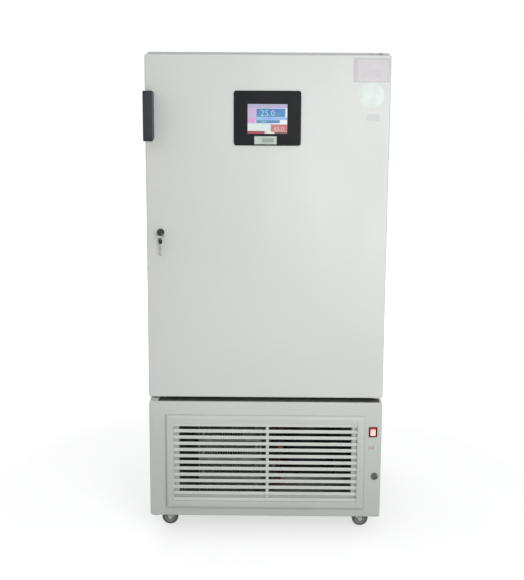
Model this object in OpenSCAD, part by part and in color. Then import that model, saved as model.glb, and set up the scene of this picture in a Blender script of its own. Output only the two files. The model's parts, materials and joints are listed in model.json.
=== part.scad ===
/* [Cabinet] */
// Width of the cabinet and of both doors
cab_w = 700; // [660:1:760]
// Height from the floor to the top of the cabinet
cab_h = 1455; // [1440:1:1560]
// Depth of the case behind the doors
case_d = 634; // [620:1:700]
// Thickness of the outer sheet steel
sheet_t = 1.5; // [1:0.1:2]
// Height of the castors under the case
caster_h = 68; // [66:1:76]
// Length of the spacers that keep the back off a wall
spacer_len = 20; // [12:1:40]
// Corner radius of the cabinet top
cab_corner_r = 8; // [4:1:14]

/* [Chamber] */
// Thickness of the insulated side walls
wall_t = 55; // [50:1:60]
// Height of the insulated floor above the machine bay
floor_t = 66; // [56:1:76]
// Thickness of the insulated top wall
roof_t = 60; // [50:1:70]
// Thickness of the insulated back wall
back_t = 60; // [50:1:70]
// Thickness of the stainless liner sheet
liner_t = 1; // [0.8:0.1:1.5]
// Depth of the air duct behind the chamber
duct_d = 90; // [86:1:110]
// Height of the first shelf above the chamber floor
shelf_first = 150; // [120:5:170]
// Distance from shelf to shelf
shelf_pitch = 245; // [225:5:260]
// Diameter of the shelf frame rod
shelf_rod = 7; // [6:0.5:9]
// Diameter of the shelf wires
shelf_wire = 3; // [2.5:0.5:4]

/* [Main door] */
// Thickness of both doors
door_t = 60; // [55:1:70]
// Gap between the doors and the case, filled by the gasket
seal_gap = 6; // [5:0.5:8]
// Gap between the main door and the access door
door_split = 14; // [13:0.5:18]
// Gap over the main door, below the level of the cabinet top
top_reveal = 7; // [6.5:0.5:10]
// Edge radius of the door sheet
door_edge_r = 4; // [2:0.5:6]
// Inset of the hinge pins from the sides of the cabinet
hinge_inset = 16; // [15:0.5:20]
// Setback of the hinge pins from the door fronts
hinge_back = 25; // [22:0.5:30]
// Diameter of the hinge pins
hinge_pin_d = 8; // [6:0.5:9]
// Running clearance of pins and shafts, all round
run_gap = 0.05; // [0.02:0.01:0.09]

/* [Access door] */
// Height of the access door
access_h = 362; // [350:1:372]
// Width of the grille frame
grille_w = 600; // [560:1:612]
// Height of the grille frame
grille_h = 294; // [280:1:304]
// Width of the bevelled edge of the grille frame
grille_border = 24; // [18:1:30]
// Number of grille bars
bar_count = 13; // [9:1:15]
// Height of one grille bar
bar_h = 10.4; // [8:0.2:13]
// Thickness of one grille bar
bar_t = 4; // [2:0.5:6]

/* [Handle and controller] */
// Reach of the handle in front of the door
handle_reach = 60; // [45:1:70]
// Height of the grip of the handle
handle_h = 143; // [120:1:180]
// Width of the handle
handle_w = 26; // [24:1:34]
// Width of the controller bezel
bezel_w = 192; // [170:1:220]
// Height of the controller bezel
bezel_h = 155; // [140:1:170]
// Width of the lit screen
screen_w = 115; // [100:1:130]
// Height of the lit screen
screen_h = 86; // [70:1:96]

/* [Cooling plant] */
// Diameter of the compressor shell
compressor_d = 160; // [130:5:170]
// Height of the compressor shell
compressor_h = 190; // [160:5:230]
// Width of the condenser
condenser_w = 224; // [200:2:236]
// Height of the condenser
condenser_h = 250; // [230:2:264]
// Diameter of the condenser fan
cond_fan_d = 196; // [170:2:206]
// Diameter of the circulation fan
circ_fan_d = 150; // [120:2:170]
// Diameter of the refrigerant pipes
pipe_d = 8; // [6:0.5:10]

/* [Castors] */
// Diameter of the castor wheels
wheel_d = 50; // [44:1:54]
// Width of the castor wheels
wheel_w = 18; // [14:1:20]
// Trail of the castor wheels behind the swivel pin
caster_trail = 18; // [14:1:20]
// Inset of the swivel pins from the sides of the case
caster_inset = 70; // [64:1:80]

/* [Hidden] */

// A hair of length that keeps a cut clear of the face it cuts
cut = 1;
// Gap between pieces that move past each other
move_gap = 0.3;

// Depth positions, from the front of the handle to the rear spacers
depth = handle_reach + door_t + seal_gap + case_d + spacer_len;
handle_y = -depth / 2;
door_y = handle_y + handle_reach;
door_back_y = door_y + door_t;
case_y = door_back_y + seal_gap;
case_back_y = case_y + case_d;

// Height positions
half_w = cab_w / 2;
access_z = caster_h - 2;
access_top_z = access_z + access_h;
door_z = access_top_z + door_split;
door_top_z = cab_h - top_reveal;
door_h = door_top_z - door_z;
ceiling_z = access_top_z + 4;
chamber_z = ceiling_z + floor_t;
chamber_top_z = cab_h - roof_t;
chamber_x = half_w - wall_t;
chamber_back_y = case_back_y - back_t;
duct_y = chamber_back_y - duct_d;
bay_z = caster_h + 2;
inner_x = half_w - sheet_t;

// Hinges
hinge_x = half_w - hinge_inset;
hinge_y = door_y + hinge_back;
hinge_plate_t = 3.5;
hinge_pin_len = 12;
bush_od = 14;
bush_flange_t = 1;
bush_flange_d = 20;

// Controller, on the centre line of the door
bezel_z = door_top_z - 101 - bezel_h;
bezel_t = 6;
screen_z = bezel_z + bezel_h / 2 - 2;
housing_w = bezel_w - 56;
housing_h = bezel_h - 40;
housing_d = 40;

// Handle, flush with the left edge of the door
handle_top_z = door_top_z - 102;
handle_base_drop = 7;
handle_wall = 4;

// Locks
lock_x = -half_w + 41;
lock_z = (door_z + door_top_z) / 2 - 6;
access_lock_x = half_w - 19;
access_lock_z = access_z + 131;
lock_d = 19;
plug_d = 12;

// Grille
grille_x = grille_w / 2;
grille_z = access_z + 27;
opening_w = grille_w - 2 * grille_border;
opening_h = grille_h - 2 * grille_border;
bar_pitch = (opening_h - bar_h) / (bar_count - 1);
hole_w = opening_w - 32;
hole_h = opening_h - 33;
hole_z = grille_z + (grille_h - hole_h) / 2 + 4;

// Power switch
switch_x = half_w - 26;
switch_z = access_top_z - 91;
switch_w = 25;
switch_h = 31;
rocker_w = 15;

// Cooling plant
cond_x = -condenser_w / 2;
cond_y = case_y + 64;
cond_t = 40;
cond_z = bay_z + 20;
cond_fan_y = cond_y + cond_t + 22;
cond_mid_z = cond_z + condenser_h / 2;
comp_x = inner_x - 208.5;
comp_y = case_back_y - 315;
comp_z = bay_z + 26;
fan_z = chamber_top_z - 257;
evap_z = chamber_z + 90;

// Castors
caster_x = half_w - caster_inset;
caster_front_y = case_y + 34;
caster_rear_y = case_back_y - 34;
caster_pin_d = 10;
fork_top_z = caster_h - 3 - 2 * move_gap - 2;

// Points of a rectangle with rounded corners, its lower left corner at the origin
function arc_points(cx, cy, r, a0, a1, n) =
    [for (i = [0:n]) [cx + r * cos(a0 + (a1 - a0) * i / n), cy + r * sin(a0 + (a1 - a0) * i / n)]];
function round_rect(w, h, r, n = 6) = concat(
    arc_points(r, r, r, 180, 270, n), arc_points(w - r, r, r, 270, 360, n),
    arc_points(w - r, h - r, r, 0, 90, n), arc_points(r, h - r, r, 90, 180, n));
// The same with only the two lower corners rounded
function front_round(w, h, r, n = 5) = concat(
    arc_points(r, r, r, 180, 270, n), arc_points(w - r, r, r, 270, 360, n), [[w, h], [0, h]]);
// The same with only the two upper corners rounded
function top_round(w, h, r, n = 6) = concat(
    [[0, 0], [w, 0]], arc_points(w - r, h - r, r, 0, 90, n), arc_points(r, h - r, r, 90, 180, n));

// Box from its lowest corner to its highest
module span(lo, hi) {
    translate(lo) cube(hi - lo);
}
// Outline in X and Z, drawn in the plane of the doors and pushed back from y
module wall_xz(y, t) {
    translate([0, y + t, 0]) rotate([90, 0, 0]) linear_extrude(t) children();
}
// Rod along Y
module rod_y(x, y, z, d, len, fn = 32) {
    translate([x, y, z]) rotate([-90, 0, 0]) cylinder(d = d, h = len, $fn = fn);
}
// Rod along X
module rod_x(x, y, z, d, len, fn = 24) {
    translate([x, y, z]) rotate([0, 90, 0]) cylinder(d = d, h = len, $fn = fn);
}

// Case

// Wrap of sheet steel: both sides and the top, folded round the upper corners
module cabinet_shell() {
    color([0.80, 0.81, 0.79]) difference() {
        translate([-half_w, 0, caster_h]) wall_xz(case_y, case_d)
            polygon(top_round(cab_w, cab_h - caster_h, cab_corner_r));
        translate([-inner_x, 0, caster_h - cut]) wall_xz(case_y - cut, case_d + 2 * cut)
            polygon(top_round(2 * inner_x, cab_h - caster_h - sheet_t + cut, cab_corner_r - sheet_t));
    }
}

// Outline of everything that fits inside the wrap, from z up to the top
module inside_wrap(z) {
    translate([-inner_x, z]) polygon(top_round(2 * inner_x, cab_h - sheet_t - z, cab_corner_r - sheet_t));
}

// Holes for the two pipes and the drain, which pass down through the floor of the chamber
pass_x = [-half_w + 88, -half_w + 114];
pass_y = duct_y + 62;
drain_x = -120;
drain_y = duct_y + 45;
drain_d = 16;
module floor_passages(z0, z1) {
    for (x = pass_x) translate([x, pass_y, z0]) cylinder(d = pipe_d + 2 * run_gap, h = z1 - z0, $fn = 32);
    translate([drain_x, drain_y, z0]) cylinder(d = drain_d, h = z1 - z0, $fn = 32);
}

// Front frame with the openings of chamber and machine bay, folded back as the ceiling of the bay
stile_w = 11;
bay_sill = 24;
module front_frame() {
    color([0.78, 0.79, 0.77]) difference() {
        union() {
            difference() {
                wall_xz(case_y, sheet_t) inside_wrap(bay_z);
                span([-chamber_x, case_y - cut, chamber_z], [chamber_x, case_y + 2 * cut + sheet_t, chamber_top_z]);
                span([-half_w + stile_w, case_y - cut, bay_z + bay_sill],
                     [half_w - stile_w, case_y + 2 * cut + sheet_t, ceiling_z - 12]);
            }
            span([-inner_x, case_y + sheet_t, ceiling_z - sheet_t],
                 [inner_x, case_back_y - sheet_t, ceiling_z]);
            span([-half_w + stile_w, case_y + sheet_t, ceiling_z - 12],
                 [half_w - stile_w, case_y + 2 * sheet_t, ceiling_z - sheet_t]);
            span([-half_w + stile_w, case_y + sheet_t, bay_z + bay_sill - sheet_t],
                 [half_w - stile_w, case_y + 14, bay_z + bay_sill]);
        }
        floor_passages(ceiling_z - sheet_t - cut, ceiling_z + cut);
        frame_screw_places() cylinder(d = screw_d, h = hinge_leg_t + 2 * sheet_t + cut, $fn = 24);
    }
}

// Rigid foam between the wrap and the liner
module insulation() {
    color([0.93, 0.88, 0.70]) difference() {
        wall_xz(case_y + sheet_t, case_d - 2 * sheet_t) inside_wrap(ceiling_z);
        span([-chamber_x - liner_t, case_y, chamber_z - liner_t],
             [chamber_x + liner_t, chamber_back_y + liner_t, chamber_top_z + liner_t]);
        floor_passages(ceiling_z - cut, chamber_z + cut);
        frame_screw_places() cylinder(d = screw_d, h = hinge_leg_t + 8, $fn = 24);
    }
}

// Stainless box that lines the chamber, open to the front
module chamber_liner() {
    color([0.75, 0.76, 0.77]) difference() {
        span([-chamber_x - liner_t, case_y + sheet_t, chamber_z - liner_t],
             [chamber_x + liner_t, chamber_back_y + liner_t, chamber_top_z + liner_t]);
        span([-chamber_x, case_y, chamber_z], [chamber_x, chamber_back_y, chamber_top_z]);
        floor_passages(chamber_z - liner_t - cut, chamber_z + cut);
    }
}

// Back of the case, with pressed louvres at the machine bay
louvre_w = 180;
louvre_pitch = 26;
louvre_count = 9;
louvre_z = bay_z + 60;
inlet_x = 260;
inlet_z = bay_z + 80;
spigot_z = bay_z + 40;
spigot_x = -260;
spigot_d = 12;
module louvre_places() {
    for (x = [-110, 110], i = [0:louvre_count - 1]) translate([x, 0, louvre_z + i * louvre_pitch]) children();
}
module rear_panel() {
    color([0.80, 0.81, 0.79]) {
        difference() {
            wall_xz(case_back_y - sheet_t, sheet_t) inside_wrap(bay_z);
            louvre_places() span([-louvre_w / 2, case_back_y - sheet_t - cut, 0],
                                 [louvre_w / 2, case_back_y + cut, 9]);
            span([inlet_x - 14, case_back_y - sheet_t - cut, inlet_z - 10.5],
                 [inlet_x + 14, case_back_y + cut, inlet_z + 10.5]);
            rod_y(spigot_x, case_back_y - sheet_t - cut, spigot_z, spigot_d + 0.1, 2 * cut + sheet_t);
        }
        louvre_places() translate([-louvre_w / 2, case_back_y, 0]) rotate([90, 0, 90])
            linear_extrude(louvre_w) polygon([[0, 10.5], [0, 9], [6, 1.5], [6, 0], [7.5, 0], [7.5, 2]]);
    }
}

// Floor of the machine bay with the two rails that carry the compressor
rail_h = 16;
rail_len = 240;
module base_pan() {
    color([0.70, 0.71, 0.70]) {
        difference() {
            span([-inner_x, case_y, caster_h], [inner_x, case_back_y, bay_z]);
            caster_screw_places() cylinder(d = 5, h = plate_t + bay_z - caster_h + cut, $fn = 24);
        }
        for (y = [comp_y - 62, comp_y + 62]) translate([comp_x - rail_len / 2, y - 14, bay_z]) rotate([90, 0, 90])
            linear_extrude(rail_len) polygon([[0, 0], [0, 2], [4, 2], [6, rail_h], [22, rail_h], [24, 2], [28, 2], [28, 0],
                                         [22.5, 0], [20.5, rail_h - 2], [7.5, rail_h - 2], [5.5, 0]]);
    }
}

// Rubber-ended spacers that hold the back off a wall
module rear_spacers() {
    color([0.15, 0.15, 0.16]) for (x = [-1, 1], z = [chamber_z + 60, chamber_top_z - 60])
        rod_y(x * (half_w - 70), case_back_y, z, 40, spacer_len, 48);
}

// Hinges

// Bracket that carries one end of a door. dir is 1 where its pin points up, -1 where it points down.
hinge_leg_t = 2;
module hinge_bracket(side, door_end_z, dir, leg) {
    face = door_end_z - dir * (bush_flange_t + move_gap);
    far = face - dir * hinge_plate_t;
    lo = min(face, far);
    end_r = 13;
    x = side * hinge_x;
    x0 = min(x + side * end_r, x - side * 34);
    x1 = max(x + side * end_r, x - side * 34);
    translate([x, hinge_y, lo]) cylinder(r = end_r, h = hinge_plate_t, $fn = 64);
    span([x - end_r, hinge_y, lo], [x + end_r, case_y, lo + hinge_plate_t]);
    span([x0, case_y - 24, lo], [x1, case_y, lo + hinge_plate_t]);
    span([x0, case_y - hinge_leg_t, min(lo, lo + leg)],
         [x1, case_y, max(lo + hinge_plate_t, lo + hinge_plate_t + leg)]);
    translate([x, hinge_y, dir > 0 ? face : face - bush_flange_t - move_gap - hinge_pin_len])
        cylinder(d = hinge_pin_d, h = bush_flange_t + move_gap + hinge_pin_len, $fn = 48);
}
leg_long = 20;
leg_short = 15;
module hinge_brackets() {
    color([0.62, 0.63, 0.64]) difference() {
        union() {
            hinge_bracket(1, door_top_z, -1, -leg_long);
            hinge_bracket(1, door_z, 1, -leg_short);
            hinge_bracket(-1, access_top_z, -1, leg_long);
            hinge_bracket(-1, access_z, 1, leg_long);
        }
        frame_screw_places() translate([0, 0, -cut]) cylinder(d = screw_d, h = hinge_leg_t + 2 * cut, $fn = 24);
    }
}

// Flanged bush at one end of a door. The flange lies outside the door.
module hinge_bush(side, door_end_z, dir) {
    translate([side * hinge_x, hinge_y, door_end_z]) mirror([0, 0, dir > 0 ? 0 : 1]) difference() {
        union() {
            translate([0, 0, -bush_flange_t]) cylinder(d = bush_flange_d, h = bush_flange_t, $fn = 48);
            cylinder(d = bush_od, h = hinge_pin_len + 2, $fn = 48);
        }
        translate([0, 0, -bush_flange_t - cut])
            cylinder(d = hinge_pin_d + 2 * run_gap, h = hinge_pin_len + bush_flange_t + 2 * cut + 2, $fn = 48);
    }
}
module bush_hole(side, door_end_z, dir) {
    translate([side * hinge_x, hinge_y, door_end_z]) mirror([0, 0, dir > 0 ? 0 : 1])
        translate([0, 0, -cut]) cylinder(d = bush_od, h = hinge_pin_len + 2 + cut, $fn = 48);
}
module door_hinge_bushes() {
    color([0.9, 0.9, 0.88]) {
        hinge_bush(1, door_top_z, -1);
        hinge_bush(1, door_z, 1);
    }
}
module access_hinge_bushes() {
    color([0.9, 0.9, 0.88]) {
        hinge_bush(-1, access_top_z, -1);
        hinge_bush(-1, access_z, 1);
    }
}

// Screws of the hinge brackets and of the castor plates
module pan_screw(d, head_d, head_h, len) {
    cylinder(d = d, h = len, $fn = 24);
    translate([0, 0, -head_h]) difference() {
        cylinder(d = head_d, h = head_h, $fn = 32);
        translate([0, 0, -cut]) cylinder(d = d * 0.6, h = cut + head_h / 2, $fn = 6);
    }
}

// Castors

plate_w = 62;
plate_t = 3;
race_d = 40;
pin_head_h = 2;
crown_t = 4;
module caster_plates() {
    color([0.72, 0.73, 0.74]) for (x = [-1, 1], y = [caster_front_y, caster_rear_y])
        translate([x * caster_x, y, 0]) {
            difference() {
                translate([-plate_w / 2, -plate_w / 2, caster_h - plate_t]) linear_extrude(plate_t)
                    polygon(round_rect(plate_w, plate_w, 6));
                for (dx = [-1, 1], dy = [-1, 1]) translate([dx, dy, 0] * caster_screw_at)
                    translate([0, 0, caster_h - plate_t - cut]) cylinder(d = 5, h = plate_t + 2 * cut, $fn = 24);
            }
            translate([0, 0, fork_top_z + move_gap]) cylinder(d = race_d, h = 2 + move_gap, $fn = 64);
            translate([0, 0, fork_top_z - crown_t - move_gap - pin_head_h]) {
                cylinder(d = caster_pin_d, h = crown_t + pin_head_h + 2 * move_gap + 2, $fn = 48);
                cylinder(d = caster_pin_d + 7, h = pin_head_h, $fn = 48);
            }
        }
}

// Fork with its fixed axle, and the wheel that runs on it. Each trails its swivel pin away along X.
axle_d = 8;
leg_gap = 1.5;
leg_t = 2.5;
fork_half = wheel_w / 2 + leg_gap + leg_t;
module fork_leg(y) {
    translate([0, y + leg_t, 0]) rotate([90, 0, 0]) linear_extrude(leg_t)
        polygon([[-17, fork_top_z], [17, fork_top_z], [17, fork_top_z - 12],
                 [caster_trail + 7, wheel_d / 2], [caster_trail - 7, wheel_d / 2], [-17, fork_top_z - 12]]);
    rod_y(caster_trail, y, wheel_d / 2, 14, leg_t, 48);
}
module caster_fork() {
    color([0.62, 0.63, 0.63]) {
        difference() {
            union() {
                fork_leg(-fork_half);
                fork_leg(fork_half - leg_t);
                translate([-17, -fork_half, fork_top_z - crown_t]) cube([34, 2 * fork_half, crown_t]);
                translate([0, 0, fork_top_z - crown_t]) cylinder(d = race_d + 4, h = crown_t, $fn = 64);
            }
            translate([0, 0, fork_top_z - crown_t - cut])
                cylinder(d = caster_pin_d + 2 * run_gap, h = crown_t + 2 * cut, $fn = 48);
        }
        rod_y(caster_trail, -fork_half - 2, wheel_d / 2, axle_d, 2 * fork_half + 4, 32);
        for (y = [-fork_half - 3, fork_half]) rod_y(caster_trail, y, wheel_d / 2, axle_d + 5, 3, 6);
    }
}
module caster_wheel() {
    r = wheel_d / 2;
    h = wheel_w / 2;
    b = axle_d / 2 + run_gap;
    color([0.42, 0.43, 0.42]) translate([caster_trail, 0, r]) rotate([90, 0, 0]) rotate_extrude($fn = 96)
        polygon([[b, -h], [8, -h], [9, -h + 3], [r - 8, -h + 3], [r - 7, -h + 1], [r - 4, -h + 0.6],
                 [r - 1.6, -h + 2.2], [r, -h + 5], [r, h - 5], [r - 1.6, h - 2.2], [r - 4, h - 0.6],
                 [r - 7, h - 1], [r - 8, h - 3], [9, h - 3], [8, h], [b, h]]);
}
// The wheels trail outwards, with the cabinet resting as it was last pushed into place
module at_caster(x, y) {
    translate([x * caster_x, y, 0]) mirror([x < 0 ? 1 : 0, 0, 0]) children();
}

// Chamber

shelf_x = chamber_x - 12;
shelf_y0 = case_y + 26;
shelf_y1 = duct_y - 14;
wire_pitch = 28;
function shelf_z(i) = chamber_z + shelf_first + i * shelf_pitch;

// Shelf of round wires welded on a rod frame, standing on its four clips
module wire_shelf(i) {
    z = shelf_z(i);
    wires = floor((2 * shelf_x - 20) / wire_pitch);
    weld = 0.5;
    color([0.82, 0.83, 0.84]) {
        for (y = [shelf_y0, (2 * shelf_y0 + shelf_y1) / 3, (shelf_y0 + 2 * shelf_y1) / 3, shelf_y1])
            rod_x(-shelf_x, y, z, shelf_rod, 2 * shelf_x, 16);
        for (x = [-1, 1])
            rod_y(x * (shelf_x - shelf_rod / 2), shelf_y0, z, shelf_rod - 0.6, shelf_y1 - shelf_y0, 16);
        for (k = [0:wires]) rod_y((k - wires / 2) * wire_pitch, shelf_y0 - 1,
            z + (shelf_rod + shelf_wire) / 2 - weld, shelf_wire, shelf_y1 - shelf_y0 + 2, 13);
    }
}

// Slotted standards on the side walls, with a clip under each corner of each shelf
standard_d = 8;
standard_w = 22;
slot_pitch = 49;
module shelf_supports() {
    count = floor((chamber_top_z - chamber_z - 60) / slot_pitch);
    face = chamber_x - standard_d;
    clip_z = -(shelf_rod - 0.6) / 2 - 0.2;
    color([0.70, 0.71, 0.72]) for (s = [-1, 1], y = [case_y + 90, duct_y - 80]) {
        difference() {
            span([s > 0 ? face : -chamber_x, y - standard_w / 2, chamber_z + 15],
                 [s > 0 ? chamber_x : -face, y + standard_w / 2, chamber_top_z - 15]);
            span([s > 0 ? face + 1.5 : -chamber_x - cut, y - standard_w / 2 + 1.5, chamber_z + 15 - cut],
                 [s > 0 ? chamber_x + cut : -face - 1.5, y + standard_w / 2 - 1.5, chamber_top_z - 15 + cut]);
            for (k = [0:count]) span([-chamber_x - cut, y - 3, chamber_z + 30 + k * slot_pitch],
                                     [chamber_x + cut, y + 3, chamber_z + 44 + k * slot_pitch]);
        }
        for (i = [0:2]) translate([s * face, y - 7, shelf_z(i) + clip_z]) mirror([s > 0 ? 0 : 1, 0, 0])
            translate([0, 14, 0]) rotate([90, 0, 0]) linear_extrude(14)
                polygon([[0, 0], [-15, 0], [-15, 4], [-17, 4], [-17, -3], [-2, -14], [0, -14]]);
    }
}

// Panel in front of the air duct, with the fan guard and two rows of air slots
panel_t = 1.2;
guard_rings = 5;
slot_count = 14;
module duct_panel() {
    ring = circ_fan_d / 2 / guard_rings;
    color([0.74, 0.75, 0.76]) difference() {
        union() {
            span([-chamber_x + move_gap, duct_y, chamber_z + move_gap],
                 [chamber_x - move_gap, duct_y + panel_t, chamber_top_z - move_gap]);
            for (s = [-1, 1]) span([s > 0 ? chamber_x - move_gap - panel_t : -chamber_x + move_gap, duct_y, chamber_z + move_gap],
                                   [s > 0 ? chamber_x - move_gap : -chamber_x + move_gap + panel_t, duct_y + 18,
                                    chamber_top_z - move_gap]);
        }
        difference() {
            for (k = [1:guard_rings]) difference() {
                rod_y(0, duct_y - cut, fan_z, 2 * (k * ring + 2), panel_t + 2 * cut, 64);
                rod_y(0, duct_y - 2 * cut, fan_z, 2 * (k * ring - 8), panel_t + 4 * cut, 64);
            }
            for (a = [0, 60, 120]) translate([0, duct_y, fan_z]) rotate([0, a, 0])
                translate([-3, -3 * cut, -circ_fan_d]) cube([6, panel_t + 6 * cut, 2 * circ_fan_d]);
        }
        for (z = [chamber_z + 30, chamber_top_z - 100], k = [0:slot_count - 1])
            span([(k - slot_count / 2) * 38 + 13, duct_y - cut, z],
                 [(k - slot_count / 2) * 38 + 25, duct_y + panel_t + cut, z + 60]);
    }
}

// Rotor of an axial fan about Z: a hub on its shaft and cambered sheet blades
blade_pitch = 32;
blade_sheet = 1.6;
function camber_line(chord, rise, n) = [for (i = [0:n]) let (u = 2 * i / n - 1) [u * chord / 2, rise * (1 - u * u)]];
module fan_blade(d, hub_d, h) {
    chord = 1.4 * h;
    line = camber_line(chord, 0.1 * chord, 6);
    under = [for (i = [6:-1:0]) line[i] - [0, blade_sheet]];
    intersection() {
        fan_disc(d, h, 1.9);
        translate([hub_d / 2 - 2, 0, h / 2]) rotate([90 - blade_pitch, 0, 90])
            linear_extrude(d / 2) polygon(concat(line, under));
    }
}
module fan_disc(d, h, turn) {
    sides = 35;
    linear_extrude(h) polygon(arc_points(0, 0, d / 2, turn, turn + 360 - 360 / sides, sides - 1));
}
module fan_rotor(d, hub_d, h, blades, shaft_d, shaft_len) {
    fan_disc(hub_d, h, 2.7);
    cylinder(d = shaft_d, h = h + shaft_len, $fn = 32);
    for (k = [0:blades - 1]) rotate(k * 360 / blades) fan_blade(d, hub_d, h);
}

// Fan that draws the chamber air into the duct, and its motor on the back wall
circ_rotor_y = duct_y + 6;
circ_rotor_h = 20;
circ_motor_y = duct_y + 34;
circ_motor_d = 72;
shaft_d = 8;
shaft_in = 20;
module circulation_fan() {
    color([0.25, 0.26, 0.27]) translate([0, circ_rotor_y, fan_z]) rotate([-90, 0, 0])
        fan_rotor(circ_fan_d, 44, circ_rotor_h, 5, shaft_d, circ_motor_y - circ_rotor_y - circ_rotor_h + shaft_in);
}
module circulation_motor() {
    len = duct_d - 44;
    color([0.55, 0.56, 0.57]) difference() {
        union() {
            rod_y(0, circ_motor_y, fan_z, circ_motor_d, len, 64);
            for (k = [0:2]) rotate_about_fan(k * 120 + 90) rod_y(26, circ_motor_y + len - 2, 0, 8,
                chamber_back_y - circ_motor_y - len + 2, 24);
            rod_y(0, circ_motor_y - 2, fan_z, 26, 4, 48);
        }
        rod_y(0, circ_motor_y - 2 - cut, fan_z, shaft_d + 2 * run_gap, shaft_in + 4 + cut, 32);
    }
}
module rotate_about_fan(a) {
    translate([0, 0, fan_z]) rotate([0, a, 0]) children();
}

// Finned coil: tubes along X through thin fins, with return bends at both ends
module finned_coil(x0, x1, y, z, t, h, fin_pitch, fin_t, cols, rows, tube_d, stub) {
    fins = floor((x1 - x0) / fin_pitch);
    row_pitch = h / rows;
    for (k = [0:fins]) span([x0 + k * (x1 - x0 - fin_t) / fins, y, z],
                            [x0 + k * (x1 - x0 - fin_t) / fins + fin_t, y + t, z + h]);
    for (c = [0:cols - 1]) {
        ty = y + t * (c + 0.5) / cols;
        for (r = [0:rows - 1]) rod_x(x0 - stub, ty, z + (r + 0.5) * row_pitch, tube_d, x1 - x0 + 2 * stub, 16);
        for (r = [0:2:rows - 2]) coil_bend(x1 + stub, ty, z + (r + 1) * row_pitch, row_pitch / 2, tube_d, 1);
        for (r = [1:2:rows - 2]) coil_bend(x0 - stub, ty, z + (r + 1) * row_pitch, row_pitch / 2, tube_d, -1);
    }
}
module coil_bend(x, y, z, r, tube_d, side) {
    translate([x, y, z]) rotate([90, side > 0 ? -90 : 90, 0]) rotate_extrude(angle = 180, $fn = 48)
        translate([r, 0]) circle(d = tube_d - 0.4, $fn = 16);
}
evap_x = 190;
evap_h = 250;
evap_rows = 6;
module evaporator() {
    color([0.78, 0.80, 0.82]) {
        finned_coil(-evap_x, evap_x, duct_y + 28, evap_z, 46, evap_h, 15, 0.8, 2, evap_rows, 10, 6);
        for (s = [-1, 1]) span([s > 0 ? evap_x : -evap_x - 1.5, duct_y + 26, evap_z - 6],
                               [s > 0 ? evap_x + 1.5 : -evap_x, chamber_back_y, evap_z + evap_h + 6]);
    }
}

// Tubular heater round the fan, held by three stand-offs on the duct panel
heater_r = circ_fan_d / 2 + 20;
heater_d = 8;
module heater() {
    color([0.45, 0.42, 0.40]) {
        translate([0, duct_y + 16, fan_z]) rotate([90, 0, 0]) rotate_extrude($fn = 96)
            translate([heater_r, 0]) circle(d = heater_d, $fn = 20);
        for (a = [30, 150, 270]) rotate_about_fan(a)
            rod_y(heater_r, duct_y + panel_t, 0, 6, 16 - panel_t, 20);
    }
}

// Sensor in front of the duct panel, in its two clips
probe_x = 150;
probe_z = fan_z - 40;
probe_off = 5.5;
module temperature_probe() {
    color([0.80, 0.81, 0.82]) {
        translate([probe_x, duct_y - probe_off, probe_z]) cylinder(d = 5, h = 120, $fn = 24);
        for (z = [probe_z + 20, probe_z + 95])
            span([probe_x - 4, duct_y - probe_off - 3, z], [probe_x + 4, duct_y, z + 6]);
    }
}

// Pan under the evaporator, with its outlet through the chamber floor
tray_z = chamber_z + 40;
tray_x = 215;
tray_d = 22;
module drip_tray() {
    color([0.80, 0.82, 0.84]) difference() {
        union() {
            span([-tray_x, duct_y + tray_d, tray_z], [tray_x, chamber_back_y, tray_z + tray_d]);
            translate([drain_x, drain_y, ceiling_z]) cylinder(d = drain_d, h = tray_z - ceiling_z, $fn = 32);
        }
        span([-tray_x + 1.5, duct_y + tray_d + 1.5, tray_z + 1.5],
             [tray_x - 1.5, chamber_back_y - 1.5, tray_z + tray_d + cut]);
        translate([drain_x, drain_y, ceiling_z - cut]) cylinder(d = drain_d - 3, h = tray_z - ceiling_z + 3, $fn = 32);
    }
}

// Machine bay

// Hermetic compressor on four grommets
module compressor() {
    r = compressor_d / 2;
    dome = 42;
    color([0.13, 0.13, 0.14]) translate([comp_x, comp_y, comp_z]) {
        translate([0, 0, 3]) rotate_extrude($fn = 96) polygon(concat(
            [[0, 0], [r - 22, 0], [r - 8, 8], [r, 22], [r, compressor_h / 2 - 4], [r + 3, compressor_h / 2 - 4],
             [r + 3, compressor_h / 2 + 4], [r, compressor_h / 2 + 4]],
            [for (a = [0:15:90]) [r * cos(a) + 0, compressor_h - dome + dome * sin(a)]]));
        translate([-90, -75, 0]) linear_extrude(3) polygon(round_rect(180, 150, 12));
        for (x = [-78, 78], y = [-62, 62]) translate([x, y, bay_z + rail_h - comp_z])
            cylinder(d = 22, h = comp_z - bay_z - rail_h, $fn = 32);
        translate([r - 6, -28, 60]) cube([34, 56, 62]);
    }
}

// Condenser, the first thing behind the grille
cond_rows = 8;
module condenser() {
    color([0.60, 0.62, 0.63]) {
        finned_coil(cond_x - condenser_w / 2 + 16, cond_x + condenser_w / 2 - 16, cond_y, cond_z, cond_t,
                    condenser_h, 8, 0.8, 2, cond_rows, 9, 2);
        for (s = [-1, 1]) span([cond_x + s * (condenser_w / 2 - 15.25) - 0.75, cond_y - 4, bay_z],
                               [cond_x + s * (condenser_w / 2 - 15.25) + 0.75, cond_y + cond_t, cond_z + condenser_h]);
    }
}
module condenser_shroud() {
    x0 = cond_x - condenser_w / 2 + 18;
    x1 = cond_x + condenser_w / 2 - 18;
    y0 = cond_y + cond_t;
    hole_d = min(cond_fan_d, x1 - x0 - 12);
    color([0.70, 0.72, 0.72]) difference() {
        union() {
            span([x0, y0, bay_z], [x1, cond_fan_y, cond_z + condenser_h]);
            rod_y(cond_x, cond_fan_y - cut, cond_mid_z, hole_d + 3, 19, 96);
        }
        span([x0 + 1.2, y0 - cut, bay_z + 1.2], [x1 - 1.2, cond_fan_y - 1.2, cond_z + condenser_h - 1.2]);
        rod_y(cond_x, y0, cond_mid_z, hole_d, 60, 96);
    }
}
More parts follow.
